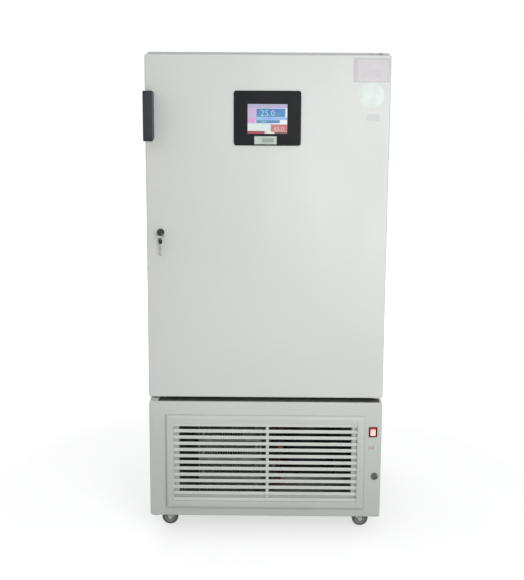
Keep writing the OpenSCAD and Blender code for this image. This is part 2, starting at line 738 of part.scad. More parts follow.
cond_rotor_h = 24;
cond_motor_y = cond_fan_y + 32;
cond_motor_d = 84;
module condenser_fan() {
    rotor_d = min(cond_fan_d, condenser_w - 48) - 8;
    color([0.20, 0.21, 0.22]) translate([cond_x, cond_fan_y - 6, cond_mid_z]) rotate([-90, 0, 0])
        fan_rotor(rotor_d, 56, cond_rotor_h, 5, shaft_d, cond_motor_y - cond_fan_y + 6 - cond_rotor_h + shaft_in);
}
module condenser_motor() {
    color([0.35, 0.36, 0.37]) difference() {
        union() {
            rod_y(cond_x, cond_motor_y, cond_mid_z, cond_motor_d, 56, 64);
            rod_y(cond_x, cond_motor_y - 2, cond_mid_z, 30, 4, 48);
            span([cond_x - 26, cond_motor_y + 20, bay_z], [cond_x + 26, cond_motor_y + 23, cond_mid_z - 20]);
            span([cond_x - 26, cond_motor_y + 20, bay_z], [cond_x + 26, cond_motor_y + 62, bay_z + 3]);
        }
        rod_y(cond_x, cond_motor_y - 2 - cut, cond_mid_z, shaft_d + 2 * run_gap, shaft_in + 4 + cut, 32);
    }
}

// Copper pipe along a path, with a slightly fuller bend at each corner
module pipe(path, d) {
    for (i = [0:len(path) - 2]) {
        v = path[i + 1] - path[i];
        translate(path[i]) rotate([0, acos(v[2] / norm(v)), atan2(v[1], v[0])])
            cylinder(d = d, h = norm(v), $fn = 20);
    }
    for (i = [1:len(path) - 2]) translate(path[i]) sphere(d = d + 0.6, $fn = 24);
}
module refrigerant_pipes() {
    coil_x = cond_x + condenser_w / 2 - 14;
    coil_y = cond_y + cond_t / 4;
    top_z = cond_z + condenser_h * (cond_rows - 0.5) / cond_rows;
    low_z = cond_z + condenser_h * 0.5 / cond_rows;
    row_z = evap_h / evap_rows;
    stub_x = -evap_x - 6;
    evap_y = duct_y + 28 + 46 * 0.75;
    lane_x = 38;
    color([0.72, 0.45, 0.28]) {
        pipe([[comp_x - compressor_d / 2, comp_y, comp_z + 60], [lane_x, comp_y, comp_z + 60],
              [lane_x, comp_y, top_z], [lane_x, coil_y, top_z], [coil_x, coil_y, top_z]], pipe_d);
        pipe([[coil_x, coil_y, low_z], [lane_x, coil_y, low_z], [lane_x, 190, low_z], [lane_x, 190, low_z + 40],
              [pass_x[1], 190, low_z + 40], [pass_x[1], pass_y, low_z + 40],
              [pass_x[1], pass_y, evap_z + row_z / 2], [stub_x, evap_y, evap_z + row_z / 2]], pipe_d);
        rod_y(lane_x, -130, low_z, 22, 80, 32);
        pipe([[comp_x, comp_y + compressor_d / 2, comp_z + 84], [comp_x, 230, comp_z + 84],
              [pass_x[0], 230, comp_z + 84], [pass_x[0], pass_y, comp_z + 84],
              [pass_x[0], pass_y, evap_z + evap_h - row_z / 2], [stub_x, evap_y, evap_z + evap_h - row_z / 2]],
             pipe_d);
    }
}

// Wiring box on the right wall of the bay
wiring_w = 104;
wiring_d = 160;
wiring_h = 200;
module electrical_box() {
    x0 = inner_x - wiring_w;
    y0 = case_back_y - 205;
    y1 = y0 + wiring_d;
    z0 = bay_z + 90;
    z1 = z0 + wiring_h;
    color([0.66, 0.68, 0.68]) {
        difference() {
            span([x0, y0, z0], [inner_x, y1, z1]);
            span([x0 - cut, y0 + 2, z0 + 2], [inner_x - 2, y1 - 2, z1 - 2]);
        }
        span([x0 - 2, y0 - 2, z0 - 2], [x0, y1 + 2, z1 + 2]);
    }
}

// Mains inlet in the back, and the spigot where the condensate leaves
module power_inlet() {
    color([0.10, 0.10, 0.11]) difference() {
        union() {
            span([inlet_x - 13.8, case_back_y - 24, inlet_z - 10.3], [inlet_x + 13.8, case_back_y, inlet_z + 10.3]);
            translate([inlet_x - 25, 0, inlet_z - 15]) wall_xz(case_back_y, 3) polygon(round_rect(50, 30, 5));
        }
        span([inlet_x - 12, case_back_y - 16, inlet_z - 8], [inlet_x + 12, case_back_y + 3 + cut, inlet_z + 8]);
        for (x = [-20, 20]) rod_y(inlet_x + x, case_back_y - cut, inlet_z, 3.4, 3 + 2 * cut, 24);
    }
    color([0.8, 0.75, 0.5]) for (x = [-7, 0, 7])
        span([inlet_x + x - 1, case_back_y - 17, inlet_z - 2], [inlet_x + x + 1, case_back_y - 3, inlet_z + 2]);
}
module drain_spigot() {
    color([0.85, 0.85, 0.83]) {
        pipe([[drain_x, drain_y, ceiling_z - sheet_t], [drain_x, drain_y, spigot_z], [spigot_x, drain_y, spigot_z],
              [spigot_x, case_back_y + 1, spigot_z]], spigot_d - 2);
        rod_y(spigot_x, case_back_y + 1, spigot_z, spigot_d, spacer_len - 2, 48);
        rod_y(spigot_x, case_back_y - sheet_t - 4, spigot_z, 20, 4, 48);
    }
}

// Doors

// Plan of a folded door pan: rounded front edges, tight back edges
door_lip = 14;
back_edge_r = 3;
function door_plan(w, d, rf, rb, n = 5) = concat(
    arc_points(rf, rf, rf, 180, 270, n), arc_points(w - rf, rf, rf, 270, 360, n),
    arc_points(w - rb, d - rb, rb, 0, 90, n), arc_points(rb, d - rb, rb, 90, 180, n));
door_corner_r = 7;
module door_block(w, z, h, y, t, rf, rb, corner_r) {
    intersection() {
        translate([-w / 2, y, z]) linear_extrude(h) polygon(door_plan(w, t, rf, rb));
        translate([-w / 2, 0, z]) wall_xz(y - cut, t + 2 * cut) polygon(round_rect(w, h, corner_r));
    }
}
module door_core(z, h) {
    door_block(2 * inner_x, z + sheet_t, h - 2 * sheet_t, door_y + sheet_t, door_t - 2 * sheet_t,
               door_edge_r - sheet_t / 2, back_edge_r - sheet_t, door_corner_r - sheet_t);
}
module door_pan(z, h) {
    difference() {
        door_block(cab_w, z, h, door_y, door_t, door_edge_r, back_edge_r, door_corner_r);
        door_core(z, h);
        span([-half_w + door_lip, door_back_y - sheet_t - cut, z + door_lip],
             [half_w - door_lip, door_back_y + cut, z + h - door_lip]);
    }
}

// Main door

housing_z = bezel_z + (bezel_h - housing_h) / 2;
lock_body_d = lock_d - 2;
lock_len = 30;
cam_t = 3;
module lock_hole(x, z, y1) {
    rod_y(x, door_y - cut, z, lock_body_d, y1 - door_y + cut, 48);
}
module door_shell() {
    color([0.82, 0.83, 0.81]) difference() {
        door_pan(door_z, door_h);
        span([-housing_w / 2 - move_gap, door_y - cut, housing_z - move_gap],
             [housing_w / 2 + move_gap, door_y + sheet_t + cut, housing_z + housing_h + move_gap]);
        lock_hole(lock_x, lock_z, door_y + sheet_t + cut);
        bush_hole(1, door_top_z, -1);
        bush_hole(1, door_z, 1);
    }
}

// Plug of the inner panel, which reaches a little way into the chamber
plug_gap = 12;
plug_reach = 16;
plug_sheet = 1.2;
module door_plug(inset) {
    x = chamber_x - plug_gap - inset;
    translate([-x, 0, chamber_z + plug_gap + inset]) wall_xz(door_back_y - sheet_t, plug_reach + sheet_t - inset)
        polygon(round_rect(2 * x, chamber_top_z - chamber_z - 2 * (plug_gap + inset), 14 - inset));
}
module door_foam() {
    color([0.93, 0.88, 0.70]) difference() {
        union() {
            door_core(door_z, door_h);
            door_plug(plug_sheet);
        }
        span([-housing_w / 2 - move_gap, door_y, housing_z - move_gap],
             [housing_w / 2 + move_gap, door_y + housing_d + move_gap, housing_z + housing_h + move_gap]);
        lock_hole(lock_x, lock_z, door_y + lock_len + move_gap);
        rod_y(lock_x, door_y + lock_len, lock_z, 54, cam_t + 3 * move_gap, 48);
        bush_hole(1, door_top_z, -1);
        bush_hole(1, door_z, 1);
    }
}
module door_inner_panel() {
    color([0.78, 0.79, 0.80]) difference() {
        union() {
            span([-half_w + door_lip, door_back_y - sheet_t, door_z + door_lip],
                 [half_w - door_lip, door_back_y, door_top_z - door_lip]);
            door_plug(0);
        }
        door_plug(plug_sheet);
    }
}

// Magnetic gasket: a foot clipped to the door and a softer bead that meets the frame
gasket_inset = 3;
gasket_w = 24;
module gasket_ring(y0, y1, in, out) {
    difference() {
        span([-chamber_x - out, y0, chamber_z - out], [chamber_x + out, y1, chamber_top_z + out]);
        span([-chamber_x - in, y0 - cut, chamber_z - in], [chamber_x + in, y1 + cut, chamber_top_z + in]);
    }
}
module door_gasket() {
    color([0.88, 0.88, 0.86]) {
        gasket_ring(door_back_y, door_back_y + 2, gasket_inset, gasket_inset + gasket_w);
        gasket_ring(door_back_y + 2, case_y - move_gap, gasket_inset + 5, gasket_inset + gasket_w - 5);
    }
}

// Pocket handle: closed at the edge of the door and open towards its middle
function handle_side(inset) = let (
    top = handle_top_z - inset, low = handle_top_z - handle_h + inset, front = handle_y + inset)
    [[door_y, top - 4], [front + 8, top], [front + 2, top - 2], [front, top - 8],
     [front, low + 16], [front + 3, low + 7], [front + 10, low + 1], [front + 16, low],
     [door_y - 18, low + 5], [door_y, low + handle_base_drop]];
module handle_slice(x0, x1, inset, y_shift) {
    translate([x0, y_shift, 0]) rotate([90, 0, 90]) linear_extrude(x1 - x0) polygon(handle_side(inset));
}
module door_handle() {
    color([0.22, 0.23, 0.24]) difference() {
        union() {
            handle_slice(-half_w, -half_w + handle_w - 2, 0, 0);
            handle_slice(-half_w + handle_w - 2, -half_w + handle_w, 1, -0.5);
        }
        intersection() {
            handle_slice(-half_w + handle_wall, -half_w + handle_w + cut, 7, 0);
            span([-half_w, handle_y + 7, door_z], [0, door_y - handle_wall, door_top_z]);
        }
        span([-half_w + handle_w - 3, door_y - 3, handle_top_z - handle_h - cut],
             [-half_w + handle_w + cut, door_y + cut, handle_top_z + cut]);
    }
}

// Controller: bezel with a raised field, lit screen and the housing behind the door sheet
module bezel_plate(y0, y1, inset) {
    translate([-bezel_w / 2 + inset, 0, bezel_z + inset]) wall_xz(y0, y1 - y0)
        polygon(round_rect(bezel_w - 2 * inset, bezel_h - 2 * inset, 7 - inset));
}
module controller_bezel() {
    color([0.13, 0.14, 0.14]) difference() {
        union() {
            bezel_plate(door_y - 2, door_y, 0);
            bezel_plate(door_y - 4, door_y - 2, 1.2);
            bezel_plate(door_y - bezel_t, door_y - 4, 3);
        }
        span([-screen_w / 2, door_y - bezel_t - cut, screen_z - screen_h / 2],
             [screen_w / 2, door_y + cut, screen_z + screen_h / 2]);
    }
}
module controller_screen() {
    color([0.55, 0.60, 0.85]) span([-screen_w / 2, door_y - bezel_t + 1, screen_z - screen_h / 2],
                                   [screen_w / 2, door_y, screen_z + screen_h / 2]);
}
module controller_housing() {
    color([0.20, 0.20, 0.21]) span([-housing_w / 2, door_y, housing_z],
                                   [housing_w / 2, door_y + housing_d, housing_z + housing_h]);
}

// Locks

module lock_barrel(x, z, len) {
    difference() {
        union() {
            rod_y(x, door_y - 3, z, lock_d + 2, 1.5, 48);
            rod_y(x, door_y - 1.5, z, lock_d + 3, 1.5, 48);
            rod_y(x, door_y, z, lock_body_d, len, 48);
        }
        rod_y(x, door_y - 3 - cut, z, plug_d + 2 * run_gap, len + 3 + 2 * cut, 48);
    }
}
module door_lock_barrel() {
    color([0.70, 0.70, 0.70]) lock_barrel(lock_x, lock_z, lock_len);
}
module access_lock_barrel() {
    color([0.60, 0.60, 0.60]) lock_barrel(access_lock_x, access_lock_z, 20);
}

// Plug of the door lock with its cam. Everything on it stands turned by its rest angle about Y.
lock_rest = -45;
blade_w = 7;
blade_t = 2;
module door_lock_plug() {
    color([0.72, 0.70, 0.62]) translate([lock_x, door_y, lock_z]) rotate([0, lock_rest, 0]) {
        difference() {
            rod_y(0, -3.5, 0, plug_d, lock_len + 3.5 + move_gap, 48);
            span([-blade_w / 2 - 0.1, -3.5 - cut, -blade_t / 2 - 0.1], [blade_w / 2 + 0.1, 20.3, blade_t / 2 + 0.1]);
        }
        span([-6, lock_len + move_gap, -5], [20, lock_len + move_gap + cam_t, 5]);
    }
}
bow_w = 17;
bow_t = 2.4;
bow_len = 22;
bow_hole_d = 7.8;
ring_y = -3.5 - 13;
ring_r = 9;
ring_d = 1.6;
spare_turn = 40;
module door_key() {
    color([0.16, 0.16, 0.17]) translate([lock_x, door_y, lock_z]) rotate([0, lock_rest, 0]) {
        difference() {
            translate([-bow_w / 2, -5 - bow_len, -bow_t / 2]) linear_extrude(bow_t)
                polygon(round_rect(bow_w, bow_len, 7));
            translate([0, ring_y, -bow_t]) cylinder(d = bow_hole_d, h = 2 * bow_t, $fn = 32);
        }
        span([-blade_w / 2, -5.5, -blade_t / 2], [blade_w / 2, 20, blade_t / 2]);
    }
}
// Ring through the bow, hanging from the axis of the lock, with the spare key on it
module key_ring() {
    color([0.75, 0.75, 0.76]) translate([lock_x, door_y + ring_y, lock_z - ring_r]) rotate([90, 0, 0])
        rotate_extrude($fn = 64) translate([ring_r, 0]) circle(d = ring_d, $fn = 16);
}
module spare_key() {
    head_r = 9;
    head_z = -2 * ring_r - 6;
    color([0.16, 0.16, 0.17]) translate([lock_x, door_y + ring_y, lock_z]) rotate([0, 0, spare_turn]) difference() {
        union() {
            translate([-bow_t / 2, 0, head_z]) rotate([0, 90, 0]) cylinder(r = head_r, h = bow_t, $fn = 48);
            span([-blade_t / 2, -blade_w / 2, head_z - 43], [blade_t / 2, blade_w / 2, head_z - head_r + 2]);
            for (k = [0:3]) span([-blade_t / 2, blade_w / 2, head_z - 40 + k * 6.5],
                                 [blade_t / 2, blade_w / 2 + 1.6, head_z - 37 + k * 6.5]);
        }
        translate([-bow_t, 0, -2 * ring_r - 2.6]) rotate([0, 90, 0]) cylinder(d = 8, h = 2 * bow_t, $fn = 32);
    }
}

// Lock of the access door: its cam turns behind the stile of the frame
access_cam_y = case_y + sheet_t + move_gap + 0.2;
module access_lock_plug() {
    color([0.55, 0.55, 0.55]) translate([access_lock_x, 0, access_lock_z]) {
        difference() {
            rod_y(0, door_y - 3.5, 0, plug_d, 24, 48);
            span([-blade_w / 2, door_y - 3.5 - cut, -blade_t / 2], [blade_w / 2, door_y + 12, blade_t / 2]);
        }
        rod_y(0, door_y + 20, 0, 7, access_cam_y - door_y - 18, 32);
        span([-4, access_cam_y, -15], [4, access_cam_y + cam_t, 6]);
    }
}

// Access door

module access_panel() {
    color([0.76, 0.78, 0.75]) difference() {
        door_pan(access_z, access_h);
        span([-hole_w / 2, door_y - cut, hole_z], [hole_w / 2, door_y + sheet_t + cut, hole_z + hole_h]);
        span([switch_x - switch_w / 2 + 1.5, door_y - cut, switch_z - switch_h / 2 + 1.5],
             [switch_x + switch_w / 2 - 1.5, door_y + sheet_t + cut, switch_z + switch_h / 2 - 1.5]);
        lock_hole(access_lock_x, access_lock_z, door_y + sheet_t + cut);
        bush_hole(-1, access_top_z, -1);
        bush_hole(-1, access_z, 1);
    }
}

// Grille frame with bevelled outer edges
frame_t = 12;
frame_bevel = 9;
module grille_frame() {
    y = door_y - frame_t;
    color([0.77, 0.79, 0.76]) difference() {
        intersection() {
            translate([0, 0, grille_z]) linear_extrude(grille_h)
                polygon([[-grille_x, door_y], [-grille_x, door_y - 2], [-grille_x + frame_bevel, y],
                         [grille_x - frame_bevel, y], [grille_x, door_y - 2], [grille_x, door_y]]);
            translate([-grille_x, 0, 0]) rotate([90, 0, 90]) linear_extrude(grille_w)
                polygon([[door_y, grille_z], [door_y - 2, grille_z], [y, grille_z + frame_bevel],
                         [y, grille_z + grille_h - frame_bevel], [door_y - 2, grille_z + grille_h],
                         [door_y, grille_z + grille_h]]);
        }
        span([-opening_w / 2, y - cut, grille_z + grille_border],
             [opening_w / 2, door_y + cut, grille_z + grille_h - grille_border]);
    }
}
// Louvre bars between the sides of the frame, tied by the mullion behind them
bar_y = door_y - 8;
mullion_w = 9;
module grille_bars() {
    color([0.80, 0.82, 0.79]) {
        for (i = [0:bar_count - 1]) translate([-opening_w / 2, bar_y, grille_z + grille_border + i * bar_pitch])
            rotate([90, 0, 90]) linear_extrude(opening_w) polygon(round_rect(bar_t, bar_h, min(1.6, bar_t / 3), 4));
        span([6 - mullion_w / 2, bar_y + bar_t, grille_z + grille_border],
             [6 + mullion_w / 2, door_y - 1, grille_z + grille_h - grille_border]);
    }
}

// Power switch: bezel with its body, and the lit rocker that tips about X
rocker_half = 9.6;
rocker_tilt = 10;
rocker_pivot_y = door_y + 4;
bezel_proud = 3;
module switch_bezel() {
    color([0.35, 0.10, 0.10]) difference() {
        union() {
            translate([switch_x - switch_w / 2, 0, switch_z - switch_h / 2]) wall_xz(door_y - bezel_proud, bezel_proud)
                polygon(round_rect(switch_w, switch_h, 2));
            span([switch_x - switch_w / 2 + 1.6, door_y - 1, switch_z - switch_h / 2 + 1.6],
                 [switch_x + switch_w / 2 - 1.6, door_y + 24, switch_z + switch_h / 2 - 1.6]);
        }
        span([switch_x - rocker_w / 2 - move_gap, door_y - bezel_proud - cut, switch_z - rocker_half - 2.6],
             [switch_x + rocker_w / 2 + move_gap, door_y + 14, switch_z + rocker_half + 2.6]);
        rod_x(switch_x - rocker_w / 2 - 1.6, rocker_pivot_y, switch_z, 3 + 2 * run_gap, rocker_w + 3.2, 24);
    }
}
module power_rocker() {
    front = door_y - bezel_proud - 2 - rocker_pivot_y;
    color([0.95, 0.45, 0.45]) translate([switch_x - rocker_w / 2, rocker_pivot_y, switch_z])
        rotate([rocker_tilt, 0, 0]) {
            rotate([90, 0, 90]) linear_extrude(rocker_w)
                polygon([[front, -rocker_half], [front + 1.7, -4], [front + 2, 0], [front + 1.7, 4],
                         [front, rocker_half], [0, rocker_half - 1], [5, 3], [5, -3], [0, -rocker_half + 1]]);
            translate([-1.5, 0, 0]) rotate([0, 90, 0]) cylinder(d = 3, h = rocker_w + 3, $fn = 24);
        }
}

// Screws that hold the hinge brackets and the castor plates
screw_d = 4;
screw_dx = [26, 12];
screw_z = [door_top_z - 6, ceiling_z - 6, door_z + 4, access_z + 12];
screw_side = [1, 1, -1, -1];
module frame_screw_places() {
    for (i = [0:3], dx = screw_dx)
        translate([screw_side[i] * (hinge_x - dx), case_y - hinge_leg_t, screw_z[i]]) rotate([-90, 0, 0]) children();
}
caster_screw_at = 23;
module caster_screw_places() {
    for (x = [-1, 1], y = [caster_front_y, caster_rear_y], dx = [-1, 1], dy = [-1, 1])
        translate([x * caster_x + dx * caster_screw_at, y + dy * caster_screw_at, caster_h - plate_t]) children();
}
module fixing_screws() {
    color([0.80, 0.80, 0.80]) {
        frame_screw_places() pan_screw(screw_d, 7, 1.2, hinge_leg_t + 8);
        caster_screw_places() pan_screw(5, 9, 2, plate_t + bay_z - caster_h + 3);
    }
}

// What is drawn: every node at its place in the assembly
cabinet_shell();
front_frame();
insulation();
chamber_liner();
rear_panel();
base_pan();
caster_plates();
hinge_brackets();
fixing_screws();
shelf_supports();
wire_shelf(0);  // shelf_lower
wire_shelf(1);  // shelf_middle
wire_shelf(2);  // shelf_upper
duct_panel();
circulation_motor();
evaporator();
heater();
temperature_probe();
compressor();
condenser();
condenser_shroud();
condenser_motor();
refrigerant_pipes();
electrical_box();
drip_tray();
power_inlet();
drain_spigot();
rear_spacers();
circulation_fan();
condenser_fan();
door_shell();
door_foam();
door_inner_panel();
door_gasket();
door_handle();
controller_bezel();
controller_screen();
controller_housing();
door_hinge_bushes();
door_lock_barrel();
door_lock_plug();
door_key();
key_ring();
spare_key();
access_panel();
grille_frame();
grille_bars();
switch_bezel();
access_lock_barrel();
access_hinge_bushes();
access_lock_plug();
power_rocker();
at_caster(-1, caster_front_y) caster_fork();  // caster_fork_front_left
at_caster(1, caster_front_y) caster_fork();  // caster_fork_front_right
at_caster(-1, caster_rear_y) caster_fork();  // caster_fork_rear_left
at_caster(1, caster_rear_y) caster_fork();  // caster_fork_rear_right
at_caster(-1, caster_front_y) caster_wheel();  // caster_wheel_front_left
at_caster(1, caster_front_y) caster_wheel();  // caster_wheel_front_right
at_caster(-1, caster_rear_y) caster_wheel();  // caster_wheel_rear_left
at_caster(1, caster_rear_y) caster_wheel();  // caster_wheel_rear_right
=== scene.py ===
"""Cooling incubator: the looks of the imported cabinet, its studio and its camera."""

import json
import logging
import math
from collections.abc import Callable, Sequence
from dataclasses import dataclass
from enum import Enum
from typing import NamedTuple

import bpy
from mathutils import Matrix, Vector

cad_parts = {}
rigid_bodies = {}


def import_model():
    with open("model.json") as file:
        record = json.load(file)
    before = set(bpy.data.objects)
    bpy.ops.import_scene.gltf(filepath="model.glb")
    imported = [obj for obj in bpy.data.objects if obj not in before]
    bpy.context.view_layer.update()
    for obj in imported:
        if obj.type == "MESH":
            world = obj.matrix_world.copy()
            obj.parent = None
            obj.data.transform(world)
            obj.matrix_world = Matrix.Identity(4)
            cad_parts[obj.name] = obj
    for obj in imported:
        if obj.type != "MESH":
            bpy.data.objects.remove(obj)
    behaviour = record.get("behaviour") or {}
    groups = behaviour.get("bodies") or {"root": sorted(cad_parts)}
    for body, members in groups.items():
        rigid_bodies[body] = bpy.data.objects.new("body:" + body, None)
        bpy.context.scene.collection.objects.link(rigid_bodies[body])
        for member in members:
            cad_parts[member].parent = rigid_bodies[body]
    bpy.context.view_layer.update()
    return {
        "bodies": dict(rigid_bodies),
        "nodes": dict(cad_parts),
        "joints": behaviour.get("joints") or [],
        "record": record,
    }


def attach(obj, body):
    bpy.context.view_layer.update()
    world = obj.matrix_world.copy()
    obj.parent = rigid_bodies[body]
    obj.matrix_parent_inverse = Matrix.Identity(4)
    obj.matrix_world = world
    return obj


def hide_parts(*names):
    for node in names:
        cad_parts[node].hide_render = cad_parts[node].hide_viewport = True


LOG = logging.getLogger("incubator")

# Lengths are in millimetres from here on, and Blender's own are in metres.
MM = 0.001
DOOR_FRONT = -330.0
DOOR_BACK = -270.0

# How near a face or an edge lies to the plane that it is picked by, and how square a face is to it.
NEAR = 0.05
SQUARE = 0.99

Flat = tuple[float, float]
Point = tuple[float, float, float]
Screen = tuple[int, int, int]
Colour = tuple[float, float, float, float]
Piece = bpy.types.Object
Socket = bpy.types.NodeSocket
Test = Callable[[Vector, Vector], bool]


class Area(NamedTuple):
    """Upright rectangle, from its lowest X and Z to its highest, in millimetres."""

    left: float
    low: float
    right: float
    high: float

    @classmethod
    def about(cls, x: float, z: float, width: float, height: float) -> "Area":
        """The rectangle of a width and a height round a point."""
        return cls(x - width / 2, z - height / 2, x + width / 2, z + height / 2)

    @property
    def middle(self) -> Flat:
        """X and Z of its middle."""
        return (self.left + self.right) / 2, (self.low + self.high) / 2

    def trimmed(self, left: float, low: float, right: float, high: float) -> "Area":
        """The rectangle with each side moved in by its own distance."""
        return Area(self.left + left, self.low + low, self.right - right, self.high - high)

    def shrunk(self, by: float) -> "Area":
        """The rectangle with all sides moved in."""
        return self.trimmed(by, by, by, by)


class Round(NamedTuple):
    """Rounding of an edge: its width in millimetres, and the steps round it."""

    width: float
    steps: int


class Axis(Enum):
    """Axis of a round piece, with the turn that lays a new cylinder or ring along it."""

    X = (0.0, math.pi / 2, 0.0)
    Y = (math.pi / 2, 0.0, 0.0)


def linear(colour: Screen) -> Colour:
    """Turns a screen colour into the linear colour that a shader takes.

    Args:
        colour: Red, green and blue, 0 to 255.

    Returns:
        The linear colour, with full alpha.
    """
    levels = (level / 255 for level in colour)
    return (*(v / 12.92 if v <= 0.04045 else ((v + 0.055) / 1.055) ** 2.4 for v in levels), 1.0)


def dimmed(colour: Screen, share: float) -> Colour:
    """A share of a screen colour's light, as a linear colour."""
    return (*(share * level for level in linear(colour)[:3]), 1.0)


class Wiring:
    """Adds nodes to the tree of one material or of the world, and links them."""

    def __init__(self, tree: bpy.types.NodeTree) -> None:
        """Takes the tree that the nodes go into."""
        self.tree = tree

    def feed(self, node: bpy.types.Node, **inputs: float | Sequence[float] | Socket) -> None:
        """Sets or links inputs of a node.

        Args:
            node: The node.
            inputs: A value or a socket for each input, with an underscore for each space of its name.
        """
        for name, value in inputs.items():
            self.put(node, name.replace("_", " "), value)

    def put(self, node: bpy.types.Node, place: str | int, value: float | Sequence[float] | Socket) -> None:
        """Sets or links one input of a node, by its name or its number."""
        if isinstance(value, Socket):
            self.tree.links.new(value, node.inputs[place])
        else:
            node.inputs[place].default_value = value

    def add(self, kind: str, settings: dict[str, str | bool] | None = None,
            **inputs: float | Sequence[float] | Socket) -> bpy.types.Node:
        """Adds a node.

        Args:
            kind: Kind of the node.
            settings: Its settings, where it needs any.
            inputs: Its inputs, as for feed.

        Returns:
            The node.
        """
        node = self.tree.nodes.new(f"ShaderNode{kind}")
        for name, value in (settings or {}).items():
            setattr(node, name, value)
        self.feed(node, **inputs)
        return node

    def noise(self, place: Socket, scale: float, detail: float = 3.0,
              stretch: Sequence[float] | None = None) -> Socket:
        """Adds a noise.

        Args:
            place: Socket with the coordinates.
            scale: Cycles a metre.
            detail: Octaves of the noise.
            stretch: Scale of each axis, where the noise is drawn out.

        Returns:
            The socket with the noise's value.
        """
        if stretch is not None:
            place = self.add("Mapping", Vector=place, Scale=stretch).outputs["Vector"]
        return self.add("TexNoise", Vector=place, Scale=scale, Detail=detail).outputs["Fac"]

    def blend(self, factor: Socket, first: Socket | Colour, second: Colour) -> Socket:
        """Adds a mix of two colours.

        Args:
            factor: Socket with the share of the second colour.
            first: First colour, or the socket that gives it.
            second: Second colour.

        Returns:
            The socket with the mixed colour.
        """
        return self.add("Mix", {"data_type": "RGBA"}, Factor=factor, A=first, B=second).outputs["Result"]

    def levels(self, value: Socket, source: Flat, target: Flat) -> Socket:
        """Maps one range of a value to another.

        Args:
            value: Socket with the value.
            source: Lowest and highest input.
            target: Lowest and highest output.

        Returns:
            The socket with the mapped value.
        """
        span = self.add("MapRange", Value=value, From_Min=source[0], From_Max=source[1],
                        To_Min=target[0], To_Max=target[1])
        return span.outputs["Result"]

    def clouds(self, place: Socket, scale: float, detail: float, edge: float, first: Colour,
               second: Colour) -> Socket:
        """Adds soft patches of two colours.

        Args:
            place: Socket with the coordinates.
            scale: Cycles a metre.
            detail: Octaves of the noise.
            edge: Level of the noise under which the first colour is pure. Over 1 less it, the second is.
            first: First colour.
            second: Second colour.

        Returns:
            The socket with the colour.
        """
        patches = self.levels(self.noise(place, scale, detail), (edge, 1.0 - edge), (0.0, 1.0))
        return self.blend(patches, first, second)


class Grain(Enum):
    """What breaks up the surface of a finish: cycles a metre, octaves and height of its relief, in metres."""

    ORANGE_PEEL = (420.0, 2.0, 0.0004)
    BRUSHED = (1.0, 3.0, 0.0003)
    MOULDED = (900.0, 2.0, 0.0003)
    FOAMED = (260.0, 4.0, 0.0016)
    CAST = (180.0, 4.0, 0.0010)
    POLISHED = (30.0, 2.0, 0.0004)


class Along(Enum):
    """Direction of brushed scratches, with the scale of each axis."""

    X = (4.0, 900.0, 900.0)
    Z = (900.0, 900.0, 4.0)


@dataclass(frozen=True)
class Finish:
    """One finish of the cabinet, built as a node material on object coordinates.

    Attributes:
        name: Name of the finish.
        colour: Main colour.
        shade: Second colour, which the mottling blends in.
        roughness: Middle roughness.
        metallic: 1 for bare metal.
        grain: What breaks up the surface.
        relief: Strength of the bump.
        along: Direction of the scratches, for a brushed finish.
        mottle: Scale of the colour variation, in cycles a metre.
        floor_shade: Painted shade: how much the lowest part is darkened, as the light falls off towards the
            floor.
        coat: Weight of a clear coat.
        glow: Strength of the light that it gives off.
        shine: Level of the mirrored light, 0.5 for plain plastic or paint.
    """

    name: str
    colour: Screen
    shade: Screen
    roughness: float = 0.5
    metallic: float = 0.0
    grain: Grain = Grain.POLISHED
    relief: float = 0.1
    along: Along = Along.Z
    mottle: float = 3.0
    floor_shade: float = 0.0
    coat: float = 0.0
    glow: float = 0.0
    shine: float = 0.5

    def build(self) -> bpy.types.Material:
        """Builds the material, or returns it where it is built already.

        Its name ends in _finish, because the frame brings flat materials named as the record's slots are.

        Returns:
            The material.
        """
        name = f"{self.name}_finish"
        known = bpy.data.materials.get(name)
        if known is not None:
            return known
        material = bpy.data.materials.new(name)
        material.use_nodes = True
        wiring = Wiring(material.node_tree)
        shader = material.node_tree.nodes["Principled BSDF"]
        wiring.feed(shader, Metallic=self.metallic, Coat_Weight=self.coat, Specular_IOR_Level=self.shine)
        place = wiring.add("TexCoord").outputs["Object"]
        self._paint_colour(wiring, place, shader)
        wiring.feed(shader, Roughness=self._wiped(wiring, place), Normal=self._raised(wiring, place))
        if self.glow > 0:
            wiring.feed(shader, Emission_Color=linear(self.colour), Emission_Strength=self.glow)
        return material

    def _paint_colour(self, wiring: Wiring, place: Socket, shader: bpy.types.ShaderNode) -> None:
        """Links the mottled colour, with painted shade that darkens it towards the floor where the finish
        asks for it.
        """
        # Painted shade: below 0.45 m the colour darkens towards the floor, down to the dimmed colour at 0.05
        # m.
        unshaded_above, darkest_at, shade_share = 0.45, 0.05, 0.45
        colour = wiring.clouds(place, self.mottle, 5.0, 0.35, linear(self.colour), linear(self.shade))
        if self.floor_shade > 0:
            height = wiring.add("SeparateXYZ", Vector=place).outputs["Z"]
            low = wiring.levels(height, (unshaded_above, darkest_at), (0.0, self.floor_shade))
            colour = wiring.blend(low, colour, dimmed(self.colour, shade_share))
        wiring.feed(shader, Base_Color=colour)

    def _wiped(self, wiring: Wiring, place: Socket) -> Socket:
        """Adds a roughness that varies as a handled surface's does, and returns its socket."""
        cleaner, duller = 0.82, 1.18
        wipes = wiring.noise(place, scale=1.0, detail=4.0, stretch=(9.0, 9.0, 4.0))
        return wiring.levels(wipes, (0.3, 0.7), (self.roughness * cleaner, min(1.0, self.roughness * duller)))

    def _raised(self, wiring: Wiring, place: Socket) -> Socket:
        """Adds the bump that the grain asks for, and returns its socket."""
        scale, detail, height = self.grain.value
        stretch = self.along.value if self.grain is Grain.BRUSHED else None
        bump = wiring.add("Bump", Strength=self.relief, Distance=height,
                          Height=wiring.noise(place, scale, detail, stretch))
        return bump.outputs["Normal"]


